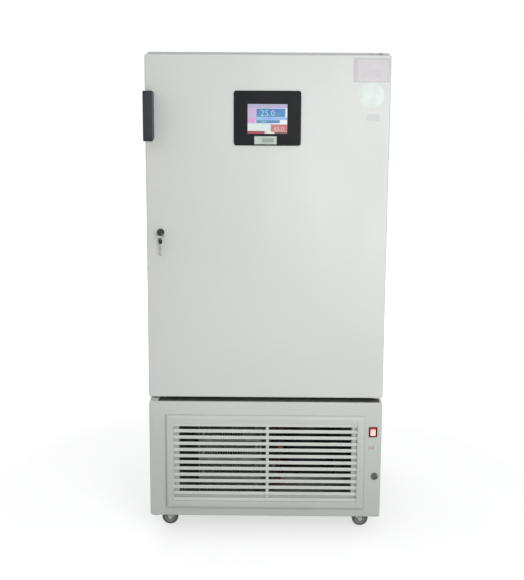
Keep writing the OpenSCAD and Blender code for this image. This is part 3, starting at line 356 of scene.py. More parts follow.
@dataclass(frozen=True)
class Lit(Finish):
    """A field of the lit screen: dark glass over rows of pixels that give off the colour.

    Attributes:
        rows: Rows of pixels, in cycles a metre.
        contrast: How much the colour fades between the rows.
        power: Strength of the light that it gives off.
        glass: Linear colour of the dark glass.
    """

    roughness: float = 0.12
    mottle: float = 40.0
    rows: float = 700.0
    contrast: float = 0.3
    power: float = 0.95
    glass: Colour = (0.01, 0.01, 0.012, 1.0)

    def _paint_colour(self, wiring: Wiring, place: Socket, shader: bpy.types.ShaderNode) -> None:
        """Links the glowing rows, and leaves the glass itself dark."""
        colour = wiring.clouds(place, self.mottle, 3.0, 0.3, linear(self.colour), linear(self.shade))
        rows = wiring.add("TexWave", {"bands_direction": "Z"}, Scale=self.rows, Vector=place)
        between = wiring.levels(rows.outputs["Fac"], (0.0, 1.0), (0.0, self.contrast))
        wiring.feed(shader, Base_Color=self.glass, Emission_Strength=self.power,
                    Emission_Color=wiring.blend(between, colour, dimmed(self.shade, 0.8)))


class Finishes:
    """The finishes of the cabinet, under the names that its maker would use."""

    door_paint = Finish("door_paint", (213, 216, 212), (208, 212, 207), 0.42,
                        grain=Grain.ORANGE_PEEL, relief=0.25, mottle=2.0)
    # The case, access door and bar paints carry painted shade that darkens their lowest part towards the
    # floor.
    case_paint = Finish("case_paint", (209, 212, 208), (204, 208, 203), 0.45,
                        grain=Grain.ORANGE_PEEL, relief=0.25, mottle=2.0, floor_shade=0.1)
    access_paint = Finish("access_paint", (204, 208, 202), (198, 203, 196), 0.42,
                          grain=Grain.ORANGE_PEEL, relief=0.25, mottle=2.4, floor_shade=0.22)
    bar_paint = Finish("bar_paint", (214, 218, 212), (206, 211, 204), 0.38,
                       grain=Grain.ORANGE_PEEL, relief=0.2, mottle=6.0, floor_shade=0.12)
    zinc = Finish("zinc", (176, 178, 178), (150, 153, 154), 0.38, 1.0,
                  grain=Grain.CAST, relief=0.1, mottle=26.0)
    screw_zinc = Finish("screw_zinc", (205, 205, 203), (180, 180, 178), 0.25, 1.0, mottle=60.0)
    foam = Finish("foam", (236, 222, 176), (222, 202, 148), 0.9,
                  grain=Grain.FOAMED, relief=0.8, mottle=40.0)
    stainless = Finish("stainless", (198, 200, 202), (184, 186, 189), 0.42, 0.75,
                       grain=Grain.BRUSHED, relief=0.12, along=Along.X, mottle=5.0)
    shelf_wire = Finish("shelf_wire", (206, 208, 210), (188, 190, 193), 0.3, 0.85, mottle=30.0)
    rating_plate = Finish("rating_plate", (158, 160, 160), (140, 142, 142), 0.55, 0.3,
                          grain=Grain.BRUSHED, relief=0.1, along=Along.X, mottle=20.0, shine=0.3)
    inner_panel = Finish("inner_panel", (226, 228, 227), (219, 221, 220), 0.3,
                         grain=Grain.MOULDED, relief=0.08, coat=0.2)
    gasket = Finish("gasket", (216, 216, 211), (202, 202, 196), 0.62,
                    grain=Grain.MOULDED, relief=0.3, mottle=14.0)
    bezel = Finish("bezel", (24, 26, 26), (30, 30, 33), 0.5,
                   grain=Grain.MOULDED, relief=0.35, mottle=20.0, shine=0.12)
    handle = Finish("handle", (54, 59, 63), (46, 50, 54), 0.5,
                    grain=Grain.MOULDED, relief=0.4, mottle=18.0, shine=0.2)
    key_head = Finish("key_head", (38, 40, 44), (30, 31, 34), 0.45,
                      grain=Grain.MOULDED, relief=0.3, shine=0.3)
    black_plastic = Finish("black_plastic", (34, 35, 36), (27, 28, 29), 0.55,
                           grain=Grain.MOULDED, relief=0.4, mottle=20.0, shine=0.3)
    # Dark rubber of the strip on the access door, which paints the shadow in the gap under the main door.
    gap_shade_rubber = Finish("gap_shade_rubber", (96, 101, 92), (78, 82, 74), 0.8,
                         grain=Grain.FOAMED, relief=0.4, mottle=30.0, shine=0.2)
    key_metal = Finish("key_metal", (168, 172, 170), (150, 154, 152), 0.38, 1.0, mottle=60.0)
    door_plug = Finish("door_plug", (78, 80, 82), (58, 60, 62), 0.4, 1.0, mottle=80.0)
    dark_lock = Finish("dark_lock", (112, 112, 108), (84, 84, 80), 0.35, 1.0, mottle=80.0)
    nylon = Finish("nylon", (228, 226, 216), (216, 213, 200), 0.5, mottle=40.0)
    switch_frame = Finish("switch_frame", (198, 62, 60), (176, 46, 46), 0.35, mottle=60.0, coat=0.2)
    switch_lit = Finish("switch_lit", (255, 176, 172), (255, 198, 190), 0.3, mottle=90.0, glow=0.62)
    fins = Finish("fins", (206, 208, 205), (172, 174, 171), 0.5, 0.25,
                  grain=Grain.BRUSHED, relief=0.2, along=Along.Z, mottle=20.0)
    copper = Finish("copper", (202, 146, 112), (166, 114, 84), 0.34, 1.0, mottle=22.0)
    bay_zinc = Finish("bay_zinc", (196, 198, 196), (170, 173, 172), 0.5, 0.35,
                      grain=Grain.CAST, relief=0.1, mottle=18.0)
    compressor_paint = Finish("compressor_paint", (58, 60, 62), (48, 49, 51), 0.45,
                              grain=Grain.ORANGE_PEEL, relief=0.3, mottle=12.0)
    motor_metal = Finish("motor_metal", (128, 130, 132), (104, 106, 108), 0.5, 0.8,
                         grain=Grain.CAST, relief=0.3, mottle=30.0)
    rotor = Finish("rotor", (58, 60, 62), (48, 50, 52), 0.5, grain=Grain.MOULDED, relief=0.3)
    heater_tube = Finish("heater_tube", (124, 112, 102), (92, 78, 68), 0.45, 1.0, mottle=36.0)
    name_plate = Finish("name_plate", (184, 196, 187), (166, 180, 170), 0.5, 0.2,
                        grain=Grain.BRUSHED, relief=0.1, along=Along.X, mottle=30.0, shine=0.3)
    plate_field = Finish("plate_field", (134, 148, 140), (148, 160, 152), 0.5, 0.2,
                         grain=Grain.BRUSHED, relief=0.1, along=Along.X, mottle=34.0, shine=0.3)
    red_ink = Finish("red_ink", (214, 70, 62), (196, 52, 48), 0.5, mottle=200.0)
    label_film = Finish("label_film", (197, 194, 196), (190, 187, 190), 0.5, mottle=14.0)
    label_field = Finish("label_field", (209, 206, 208), (203, 198, 201), 0.5, mottle=16.0)
    label_band = Finish("label_band", (206, 196, 200), (203, 198, 201), 0.5, mottle=24.0)
    sticker_film = Finish("sticker_film", (227, 234, 230), (212, 223, 218), 0.5, mottle=34.0)
    small_film = Finish("small_film", (204, 208, 206), (199, 203, 201), 0.5, mottle=20.0)
    wheel_web = Finish("wheel_web", (150, 150, 146), (138, 138, 134), 0.5, grain=Grain.MOULDED, relief=0.2)
    tyre = Finish("tyre", (112, 112, 108), (92, 92, 88), 0.7, grain=Grain.CAST, relief=0.3, mottle=26.0)


class ScreenFields:
    """What the screen shows, in millimetres from its lower left corner: plain fields and generic numerals.

    Each field is its area and its glow. Each numeral is its digits, left edge, low edge, height and glow.
    """

    backdrop = Lit("screen_backdrop", (196, 205, 224), (206, 214, 216))
    digits = Lit("screen_digits", (158, 214, 232), (170, 226, 236))
    warm_digits = Lit("screen_warm_digits", (250, 190, 180), (240, 206, 190))
    fields = (
        (Area(1.0, 73.2, 114.0, 85.0), Lit("screen_strip", (186, 180, 214), (176, 176, 204))),
        (Area(1.0, 45.8, 25.2, 72.6), Lit("screen_column", (206, 178, 214), (196, 186, 220))),
        (Area(1.0, 31.4, 22.0, 45.6), Lit("screen_pink", (224, 160, 216), (214, 170, 216))),
        (Area(25.9, 48.8, 108.6, 72.1), Lit("screen_blue", (78, 128, 190), (92, 152, 200))),
        (Area(22.4, 40.4, 113.8, 48.2), Lit("screen_band", (142, 182, 244), (150, 200, 236))),
        (Area(25.9, 31.4, 93.1, 39.8), Lit("screen_teal", (84, 140, 180), (92, 156, 190))),
        (Area(1.0, 9.8, 66.0, 30.2), Lit("screen_pale", (214, 236, 228), (226, 238, 232))),
        (Area(67.4, 7.2, 114.0, 27.9), Lit("screen_rose", (206, 132, 132), (198, 120, 124))),
        (Area(67.4, 23.6, 114.0, 27.9), Lit("screen_dark_rose", (176, 98, 112), (160, 104, 104))),
        (Area(1.0, 1.0, 49.5, 9.2), Lit("screen_crimson", (176, 72, 92), (164, 66, 84))),
        (Area(56.0, 1.0, 77.4, 9.2), Lit("screen_cream", (246, 238, 216), (240, 230, 208))),
        (Area(77.8, 1.0, 114.0, 6.6), Lit("screen_brown", (132, 88, 80), (112, 78, 72))),
    )
    numerals = (
        ("25.0", 37.0, 51.6, 17.0, digits),
        ("24.8", 40.0, 33.0, 5.4, digits),
        ("65.0", 76.0, 9.6, 11.6, warm_digits),
    )


NODE_FINISHES: tuple[tuple[Finish, tuple[str, ...]], ...] = (
    (Finishes.case_paint, ("cabinet_shell", "front_frame", "rear_panel", "hinge_brackets")),
    (Finishes.door_paint, ("door_shell",)),
    (Finishes.access_paint, ("access_panel", "grille_frame")),
    (Finishes.bar_paint, ("grille_bars",)),
    (Finishes.foam, ("insulation", "door_foam")),
    (Finishes.stainless, ("chamber_liner", "duct_panel", "drip_tray", "shelf_supports", "temperature_probe")),
    (Finishes.shelf_wire, ("shelf_lower", "shelf_middle", "shelf_upper")),
    (Finishes.bay_zinc, ("base_pan", "condenser_shroud", "electrical_box")),
    (Finishes.screw_zinc, ("fixing_screws",)),
    (Finishes.inner_panel, ("door_inner_panel",)),
    (Finishes.gasket, ("door_gasket",)),
    (Finishes.bezel, ("controller_bezel",)),
    (Finishes.black_plastic, ("controller_housing", "controller_screen", "power_inlet", "rear_spacers")),
    (Finishes.handle, ("door_handle",)),
    (Finishes.key_head, ("door_key", "spare_key")),
    (Finishes.door_plug, ("door_lock_barrel", "door_lock_plug")),
    (Finishes.dark_lock, ("access_lock_barrel", "access_lock_plug", "key_ring")),
    (Finishes.nylon, ("door_hinge_bushes", "access_hinge_bushes", "drain_spigot")),
    (Finishes.switch_frame, ("switch_bezel",)),
    (Finishes.switch_lit, ("power_rocker",)),
    (Finishes.fins, ("evaporator", "condenser")),
    (Finishes.copper, ("refrigerant_pipes",)),
    (Finishes.compressor_paint, ("compressor",)),
    (Finishes.motor_metal, ("circulation_motor", "condenser_motor")),
    (Finishes.rotor, ("circulation_fan", "condenser_fan")),
    (Finishes.heater_tube, ("heater",)),
)


def dress_frame(nodes: dict[str, Piece]) -> None:
    """Gives every carried CAD node its finish.

    Args:
        nodes: The CAD nodes by name.
    """
    finishes = {name: finish for finish, names in NODE_FINISHES for name in names}
    for name, node in nodes.items():
        if name.startswith("caster_"):
            finish = Finishes.tyre if "wheel" in name else Finishes.zinc
        else:
            finish = finishes[name]
        node.data.materials.clear()
        node.data.materials.append(finish.build())


def facing_front(y: float) -> Test:
    """Makes the test for upright faces that look forward at a depth."""
    return lambda middle, normal: normal.y < -SQUARE and abs(middle.y - y) < NEAR


def facing_back(y: float) -> Test:
    """Makes the test for upright faces that look back at a depth."""
    return lambda middle, normal: normal.y > SQUARE and abs(middle.y - y) < NEAR


def upright(middle: Vector, normal: Vector) -> bool:
    """Whether a face looks straight forward or back."""
    return abs(normal.y) > SQUARE


def inside(faces: Test, area: Area) -> Test:
    """Narrows a test to the faces whose middle lies in an upright rectangle."""
    return lambda middle, normal: (faces(middle, normal) and area.left < middle.x < area.right
                                   and area.low < middle.z < area.high)


def around(faces: Test, x: float, z: float) -> Test:
    """Narrows a test to the face whose middle is at X and Z."""
    return inside(faces, Area.about(x, z, 2.0, 2.0))


def at_depth(y: float) -> Test:
    """Makes the test for edges that lie in the upright plane at a depth."""
    return lambda first, second: abs(first.y - y) < NEAR and abs(second.y - y) < NEAR


def along_x(first: Vector, second: Vector) -> bool:
    """Whether an edge runs across."""
    return abs(first.x - second.x) > 1


def along_y(first: Vector, second: Vector) -> bool:
    """Whether an edge runs straight back."""
    return abs(first.y - second.y) > 1 and abs(first.x - second.x) < 0.01 and abs(first.z - second.z) < 0.01


def along_z(first: Vector, second: Vector) -> bool:
    """Whether an edge runs up."""
    return abs(first.z - second.z) > 1


class Shop:
    """Blender's modelling operators, each used on the one piece that is being made, in millimetres."""

    @staticmethod
    def alone(piece: Piece | None = None) -> None:
        """Leaves only this piece selected and active, in object mode, or nothing without a piece."""
        if bpy.context.object is not None and bpy.context.object.mode != "OBJECT":
            bpy.ops.object.mode_set(mode="OBJECT")
        bpy.ops.object.select_all(action="DESELECT")
        if piece is not None:
            piece.select_set(True)
            bpy.context.view_layer.objects.active = piece

    @classmethod
    def settle(cls, piece: Piece, name: str) -> Piece:
        """Names a fresh piece and puts its place, turn and size into its mesh.

        Args:
            piece: The piece.
            name: Its name.

        Returns:
            The piece, at the origin, unturned and unscaled.
        """
        piece.name = piece.data.name = name
        cls.alone(piece)
        bpy.ops.object.transform_apply(location=True, rotation=True, scale=True)
        return piece

    @classmethod
    def block(cls, name: str, low: Point, high: Point) -> Piece:
        """Adds a block between its lowest and its highest corner.

        Args:
            name: Name of the piece.
            low: Its lowest corner.
            high: Its highest corner.

        Returns:
            The piece.
        """
        cls.alone()
        centre = [(a + b) / 2 * MM for a, b in zip(low, high)]
        bpy.ops.mesh.primitive_cube_add(size=1.0, location=centre)
        piece = bpy.context.active_object
        piece.scale = [(b - a) * MM for a, b in zip(low, high)]
        return cls.settle(piece, name)

    @classmethod
    def slab(cls, name: str, area: Area, front: float, back: float, corner: Round | None = None,
             front_edge: Round | None = None, back_edge: Round | None = None) -> Piece:
        """Adds an upright slab.

        Args:
            name: Name of the piece.
            area: Its outline, seen from the front.
            front: Depth of its front.
            back: Depth of its back.
            corner: Rounding of its four corners, seen from the front.
            front_edge: Rounding of the edges of its front.
            back_edge: Rounding of the edges of its back.

        Returns:
            The piece.
        """
        piece = cls.block(name, (area.left, front, area.low), (area.right, back, area.high))
        tests = (along_y, at_depth(front), at_depth(back))
        for edges, rounding in zip(tests, (corner, front_edge, back_edge)):
            if rounding is not None:
                cls.round_edges(piece, edges, *rounding)
        return piece

    @classmethod
    def hoop(cls, name: str, area: Area, front: float, back: float, width: float) -> Piece:
        """Adds an upright slab with an opening that leaves a rim of one width all round.

        Args:
            name: Name of the piece.
            area: Its outline, seen from the front.
            front: Depth of its front.
            back: Depth of its back.
            width: Width of the rim.

        Returns:
            The piece.
        """
        piece = cls.slab(name, area, front, back)
        cls.inset(piece, upright, width)
        cls.shape(piece, around(upright, *area.middle), bpy.ops.mesh.bridge_edge_loops)
        return piece

    @classmethod
    def rod(cls, name: str, start: Point, length: float, diameter: float, sides: int,
            axis: Axis = Axis.Y) -> Piece:
        """Adds a cylinder that runs from a point along an axis.

        Args:
            name: Name of the piece.
            start: Middle of its first end.
            length: Its length along the axis.
            diameter: Its diameter.
            sides: Number of its sides.
            axis: The axis.

        Returns:
            The piece.
        """
        cls.alone()
        centre = [v * MM for v in start]
        centre["XY".index(axis.name)] += length / 2 * MM
        bpy.ops.mesh.primitive_cylinder_add(vertices=sides, radius=diameter / 2 * MM, depth=length * MM,
                                            location=centre, rotation=axis.value)
        return cls.settle(bpy.context.active_object, name)

    @classmethod
    def ring(cls, name: str, centre: Point, diameter: float, wire: float, sides: int) -> Piece:
        """Adds an upright ring of round wire that faces the front.

        Args:
            name: Name of the piece.
            centre: Its middle.
            diameter: Diameter of the wire's centre line.
            wire: Diameter of the wire.
            sides: Steps round the ring.

        Returns:
            The piece.
        """
        cls.alone()
        bpy.ops.mesh.primitive_torus_add(major_radius=diameter / 2 * MM, minor_radius=wire / 2 * MM,
                                         major_segments=sides, minor_segments=14,
                                         location=[v * MM for v in centre], rotation=Axis.Y.value)
        return cls.settle(bpy.context.active_object, name)

    @classmethod
    def numeral(cls, name: str, digits: str, place: Point, height: float, depth: float) -> Piece:
        """Adds upright numerals that face the front, as a mesh.

        Args:
            name: Name of the piece.
            digits: The numerals.
            place: Their lower left corner.
            height: Their height.
            depth: Their thickness.

        Returns:
            The piece.
        """
        height_of_size = 0.7
        cls.alone()
        bpy.ops.object.text_add()
        text = bpy.context.active_object.data
        text.body = digits
        text.size = height * MM / height_of_size
        text.extrude = depth / 2 * MM
        text.resolution_u = 3
        bpy.ops.object.convert(target="MESH")
        piece = bpy.context.active_object
        piece.location = [v * MM for v in place]
        piece.rotation_euler = Axis.Y.value
        cls.settle(piece, name)
        cls.edit_all(piece)
        bpy.ops.mesh.remove_doubles(threshold=0.000001)
        bpy.ops.mesh.normals_make_consistent(inside=False)
        bpy.ops.object.mode_set(mode="OBJECT")
        return piece

    @classmethod
    def edit_all(cls, piece: Piece) -> None:
        """Opens the piece in edit mode with all its faces selected."""
        cls.alone(piece)
        bpy.context.tool_settings.mesh_select_mode = (False, False, True)
        bpy.ops.object.mode_set(mode="EDIT")
        bpy.ops.mesh.select_all(action="SELECT")

    @classmethod
    def _edit(cls, piece: Piece, picked: Sequence[bpy.types.MeshPolygon] | Sequence[bpy.types.MeshEdge],
              faces: bool) -> bool:
        """Opens the piece in edit mode with only these faces or edges selected.

        Args:
            piece: The piece.
            picked: Its faces or edges that are wanted.
            faces: Whether they are faces.

        Returns:
            Whether anything is selected.
        """
        for elements in (piece.data.vertices, piece.data.edges, piece.data.polygons):
            elements.foreach_set("select", [False] * len(elements))
        for element in picked:
            element.select = True
        bpy.context.tool_settings.mesh_select_mode = (False, not faces, faces)
        bpy.ops.object.mode_set(mode="EDIT")
        return bool(picked)

    @classmethod
    def shape(cls, piece: Piece, test: Test, operator: Callable[..., set[str]], **settings: object) -> None:
        """Runs an edit operator on the faces that pass a test.

        Args:
            piece: The piece.
            test: Takes a face's middle, in millimetres, and its normal.
            operator: The operator.
            settings: Its settings, in Blender's own units.
        """
        cls.alone(piece)
        picked = [face for face in piece.data.polygons if test(face.center / MM, face.normal)]
        if cls._edit(piece, picked, True):
            operator(**settings)
        bpy.ops.object.mode_set(mode="OBJECT")

    @classmethod
    def round_edges(cls, piece: Piece, test: Test, width: float, steps: int) -> None:
        """Bevels the edges that pass a test.

        Args:
            piece: The piece.
            test: Takes both ends of an edge, in millimetres.
            width: Width of the bevel.
            steps: Steps round it.
        """
        cls.alone(piece)
        ends = [vertex.co / MM for vertex in piece.data.vertices]
        picked = [edge for edge in piece.data.edges if test(*(ends[index] for index in edge.vertices))]
        if cls._edit(piece, picked, False):
            bpy.ops.mesh.bevel(offset=width * MM, segments=steps, profile=0.5, affect="EDGES")
        bpy.ops.object.mode_set(mode="OBJECT")

    @classmethod
    def inset(cls, piece: Piece, test: Test, thickness: float, depth: float = 0.0) -> None:
        """Insets the faces that pass the test, and raises or sinks them."""
        cls.shape(piece, test, bpy.ops.mesh.inset, thickness=thickness * MM, depth=depth * MM,
                  use_even_offset=True)

    @classmethod
    def push(cls, piece: Piece, test: Test, move: Point) -> None:
        """Extrudes the faces that pass the test by a move."""
        cls.shape(piece, test, bpy.ops.mesh.extrude_region_move,
                  TRANSFORM_OT_translate={"value": [v * MM for v in move]})

    @classmethod
    def score(cls, piece: Piece, faces: Test, area: Area) -> None:
        """Cuts the outline of an upright rectangle into the faces that pass the test."""
        cuts = [((x, 0, 0), (1, 0, 0)) for x in (area.left, area.right)]
        cuts += [((0, 0, z), (0, 0, 1)) for z in (area.low, area.high)]
        for place, normal in cuts:
            cls.shape(piece, faces, bpy.ops.mesh.bisect, plane_co=[v * MM for v in place], plane_no=normal)

    @classmethod
    def window(cls, piece: Piece, faces: Test, area: Area) -> None:
        """Opens an upright rectangle in the faces that pass the test."""
        cls.score(piece, faces, area)
        cls.shape(piece, inside(faces, area), bpy.ops.mesh.delete, type="FACE")

    @classmethod
    def modify(cls, piece: Piece, kind: str, **settings: object) -> None:
        """Adds a modifier and applies it.

        Args:
            piece: The piece.
            kind: Kind of the modifier.
            settings: Its settings, in Blender's own units.
        """
        cls.alone(piece)
        modifier = piece.modifiers.new(kind.lower(), kind)
        for key, value in settings.items():
            setattr(modifier, key, value)
        bpy.ops.object.modifier_apply(modifier=modifier.name)

    @classmethod
    def soften(cls, piece: Piece, width: float, steps: int) -> None:
        """Rounds every edge that is sharper than 30 degrees."""
        cls.modify(piece, "BEVEL", width=width * MM, segments=steps, limit_method="ANGLE",
                   angle_limit=math.radians(30), harden_normals=False)

    @classmethod
    def join(cls, name: str, pieces: Sequence[Piece]) -> Piece:
        """Joins pieces of one finish into the first of them, and names it."""
        cls.alone(pieces[0])
        for piece in pieces:
            piece.select_set(True)
        bpy.ops.object.join()
        pieces[0].name = pieces[0].data.name = name
        return pieces[0]

    @classmethod
    def subtract(cls, piece: Piece, tool: Piece) -> None:
        """Cuts the tool's shape out of the piece, and removes the tool."""
        cls.modify(piece, "BOOLEAN", operation="DIFFERENCE", object=tool)
        cls.alone(tool)
        bpy.ops.object.delete()

    @classmethod
    def spin(cls, piece: Piece, place: Point, degrees: float) -> None:
        """Turns the piece about the upright through a point."""
        middle = Matrix.Translation([v * MM for v in place])
        piece.matrix_world = middle @ Matrix.Rotation(math.radians(degrees), 4, "Z") @ middle.inverted()
        cls.settle(piece, piece.name)

    @classmethod
    def copy(cls, piece: Piece, name: str, move: Point) -> Piece:
        """Copies a piece with its own mesh.

        Args:
            piece: The piece.
            name: Name of the copy.
            move: How far the copy is moved.

        Returns:
            The copy, with its place in its mesh.
        """
        twin = piece.copy()
        twin.data = piece.data.copy()
        bpy.context.collection.objects.link(twin)
        twin.location = [v * MM for v in move]
        return cls.settle(twin, name)

    @classmethod
    def hand_over(cls, piece: Piece, finish: Finish, body: str, slot: str, replaces: Sequence[str] = (),
                  smooth: float = 32.0) -> None:
        """Smooths, paints and mounts a finished piece.

        Args:
            piece: The piece.
            finish: Its finish.
            body: The body that it rides on.
            slot: The record's slot for its finish. Not used.
            replaces: The CAD nodes that it stands for.
            smooth: Faces that meet at less than this angle are shaded smooth.
        """
        cls.alone(piece)
        bpy.ops.object.shade_smooth_by_angle(angle=math.radians(smooth))
        piece.data.materials.clear()
        piece.data.materials.append(finish.build())
        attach(piece, body)
        if replaces:
            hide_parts(*replaces)
        LOG.info("%s: %d faces on %s", piece.name, len(piece.data.polygons), body)


@dataclass
class DoorPan:
    """Folded sheet pan of a door, with rounded corners and a return lip behind.

    Attributes:
        name: Name of the piece.
        body: The body that it rides on.
        node: The CAD node that it stands for.
        finish: Its finish.
        area: Its outline, seen from the front.
        opening: Window in its front, or None.
        corner: Rounding of its corners, seen from the front.
        front_edge: Rounding of the edges of its front.
        back_edge: Rounding of the edges of its back.
        lip: Width of the return lip.
        sheet: Thickness of the sheet.
    """

    name: str
    body: str
    node: str
    finish: Finish
    area: Area
    opening: Area | None = None
    corner: Round = Round(7.0, 8)
    front_edge: Round = Round(4.0, 5)
    back_edge: Round = Round(3.0, 3)
    lip: float = 14.0
    sheet: float = 1.5

    def build(self) -> None:
        """Builds the pan."""
        pan = Shop.slab(self.name, self.area, DOOR_FRONT, DOOR_BACK, self.corner, self.front_edge,
                        self.back_edge)
        Shop.window(pan, facing_back(DOOR_BACK), self.area.shrunk(self.lip))
        if self.opening is not None:
            Shop.window(pan, facing_front(DOOR_FRONT), self.opening)
        Shop.modify(pan, "SOLIDIFY", thickness=self.sheet * MM, offset=-1.0)
        Shop.hand_over(pan, self.finish, self.body, "cabinet_paint", (self.node,))


@dataclass
class Controller:
    """Controller on the door: bezel, lit screen with its fields, and a bare name plate.

    Attributes:
        area: Outline of the bezel.
        front: Depth of its front.
        screen: Outline of the screen's window.
        screen_y: Depth of the screen's face.
        play: Gap round the glass.
        tile_up: How far the lowest field stands proud of the glass.
        tile_step: Step up to the next field. After four the steps start again.
        figure_up: How far the numerals stand proud of the glass.
        plate: Outline of the name plate.
        plate_up: How far the name plate stands proud of the bezel.
    """

    area: Area = Area(-96.0, 1192.0, 96.0, 1347.0)
    front: float = -336.0
    screen: Area = Area(-57.5, 1224.5, 57.5, 1310.5)
    screen_y: float = -335.0
    play: float = 0.9
    tile_up: float = 0.12
    tile_step: float = 0.05
    figure_up: float = 0.42
    plate: Area = Area(-37.5, 1195.8, 26.5, 1218.8)
    plate_up: float = 0.9

    def build(self) -> None:
        """Builds the bezel, the screen and the name plate."""
        self._bezel()
        self._screen()
        self._plate()

    def _bezel(self) -> None:
        """Builds the moulded bezel with its rounded edge and sunk window."""
        bezel = Shop.slab("bezel_cover", self.area, self.front, DOOR_FRONT, corner=Round(7.0, 6),
                          front_edge=Round(3.0, 4))
        face = facing_front(self.front)
        Shop.score(bezel, face, self.screen)
        Shop.inset(bezel, inside(face, self.screen), thickness=0.8, depth=-1.5)
        Shop.hand_over(bezel, Finishes.bezel, "main_door", "black_plastic", ("controller_bezel",))

    def _screen(self) -> None:
        """Builds the lit glass, its coloured fields and its numerals."""
        glass = Shop.slab("screen_glass", self.screen.shrunk(self.play), self.screen_y, DOOR_FRONT,
                          front_edge=Round(0.4, 2))
        Shop.hand_over(glass, ScreenFields.backdrop, "main_door", "screen", ("controller_screen",))
        x, z = self.screen.left, self.screen.low
        for index, (area, glow) in enumerate(ScreenFields.fields):
            face = self.screen_y - (self.tile_up + self.tile_step * (index % 4))
            place = Area(x + area.left, z + area.low, x + area.right, z + area.high)
            tile = Shop.slab(f"screen_field_{index:02d}", place, face, self.screen_y,
                             front_edge=Round(0.06, 1))
            Shop.hand_over(tile, glow, "main_door", "screen")
        for index, (digits, left, low, height, glow) in enumerate(ScreenFields.numerals):
            place = (x + left, self.screen_y - self.figure_up, z + low)
            figure = Shop.numeral(f"screen_figure_{index}", digits, place, height, depth=0.1)
            Shop.hand_over(figure, glow, "main_door", "screen")

    def _plate(self) -> None:
        """Builds the bare metal name plate with its sunk field."""
        face = self.front - self.plate_up
        plate = Shop.slab("name_plate", self.plate, face, self.front, corner=Round(1.5, 4),
                          front_edge=Round(0.4, 3))
        Shop.inset(plate, facing_front(face), thickness=2.6)
        Shop.inset(plate, around(facing_front(face), *self.plate.middle), thickness=0.5, depth=-0.35)
        Shop.hand_over(plate, Finishes.name_plate, "main_door", "lock_metal")
        area = self.plate.trimmed(22.0, 6.0, 8.0, 5.5)
        field = Shop.slab("name_plate_field", area, face - 0.15, face + 0.4, corner=Round(0.8, 3))
        Shop.hand_over(field, Finishes.plate_field, "main_door", "lock_metal")


@dataclass
class Handle:
    """Pocket handle at the free edge of the door: shell with a pocket in its inner side.

    Attributes:
        left: X of its outer side.
        width: Its width.
        front: Depth of its grip.
        top: Height of its top.
        low: Height of its lower end.
        cuts: Y and Z of both ends of each line that its side outline is cut along.
        top_edge: Rounding of its front's upper edge.
        low_edge: Rounding of its front's lower edge.
        wall: Wall round the pocket.
        skin: Thickness of its outer side.
    """

    left: float = -350.0
    width: float = 26.0
    front: float = -390.0
    top: float = 1346.0
    low: float = 1203.0
    cuts: tuple[tuple[Flat, Flat], ...] = (
        ((-330.0, 1342.0), (-382.0, 1346.0)),
        ((-374.0, 1203.0), (-348.0, 1208.0)),
        ((-348.0, 1208.0), (-330.0, 1210.0)),
    )
    top_edge: Round = Round(7.0, 6)
    low_edge: Round = Round(12.0, 8)
    wall: float = 6.0
    skin: float = 4.5

    def build(self) -> None:
        """Builds the handle from a block, cut to its side outline, rounded and hollowed."""
        right = self.left + self.width
        shell = Shop.block("handle_shell", (self.left, self.front, self.low), (right, DOOR_FRONT, self.top))
        for start, end in self.cuts:
            self._trim(shell, start, end)
        y, z = (self.front + DOOR_FRONT) / 2, (self.top + self.low) / 2
        front = at_depth(self.front)
        Shop.round_edges(shell, lambda a, b: front(a, b) and along_x(a, b) and a.z > z, *self.top_edge)
        Shop.round_edges(shell, lambda a, b: front(a, b) and along_x(a, b) and a.z < z, *self.low_edge)

        def inner(middle: Vector, normal: Vector) -> bool:
            """Whether a face belongs to the handle's inner side."""
            return normal.x > SQUARE and abs(middle.x - right) < NEAR

        def pocket(middle: Vector, normal: Vector) -> bool:
            """Whether a face is the one inside the pocket's wall."""
            return inner(middle, normal) and abs(middle.z - z) < 20 and abs(middle.y - y) < 12

        Shop.inset(shell, inner, thickness=self.wall)
        Shop.push(shell, pocket, (-(self.width - self.skin), 0.0, 0.0))
        Shop.soften(shell, 1.4, 3)
        Shop.hand_over(shell, Finishes.handle, "main_door", "handle_plastic", ("door_handle",), smooth=40.0)

    def _trim(self, piece: Piece, start: Flat, end: Flat) -> None:
        """Cuts away what lies outside a line of the side outline.

        Args:
            piece: The piece.
            start: Y and Z of the line's start.
            end: Y and Z of its end. The waste is the side away from the middle of the handle.
        """
        outwards = Vector((0.0, start[1] - end[1], end[0] - start[0])).normalized()
        middle = Vector((0.0, (self.front + DOOR_FRONT) / 2, (self.top + self.low) / 2))
        if (middle - Vector((0.0, *start))).dot(outwards) > 0:
            outwards.negate()
        Shop.edit_all(piece)
        bpy.ops.mesh.bisect(plane_co=(0.0, start[0] * MM, start[1] * MM), plane_no=outwards, clear_outer=True,
                            use_fill=True)
        bpy.ops.object.mode_set(mode="OBJECT")


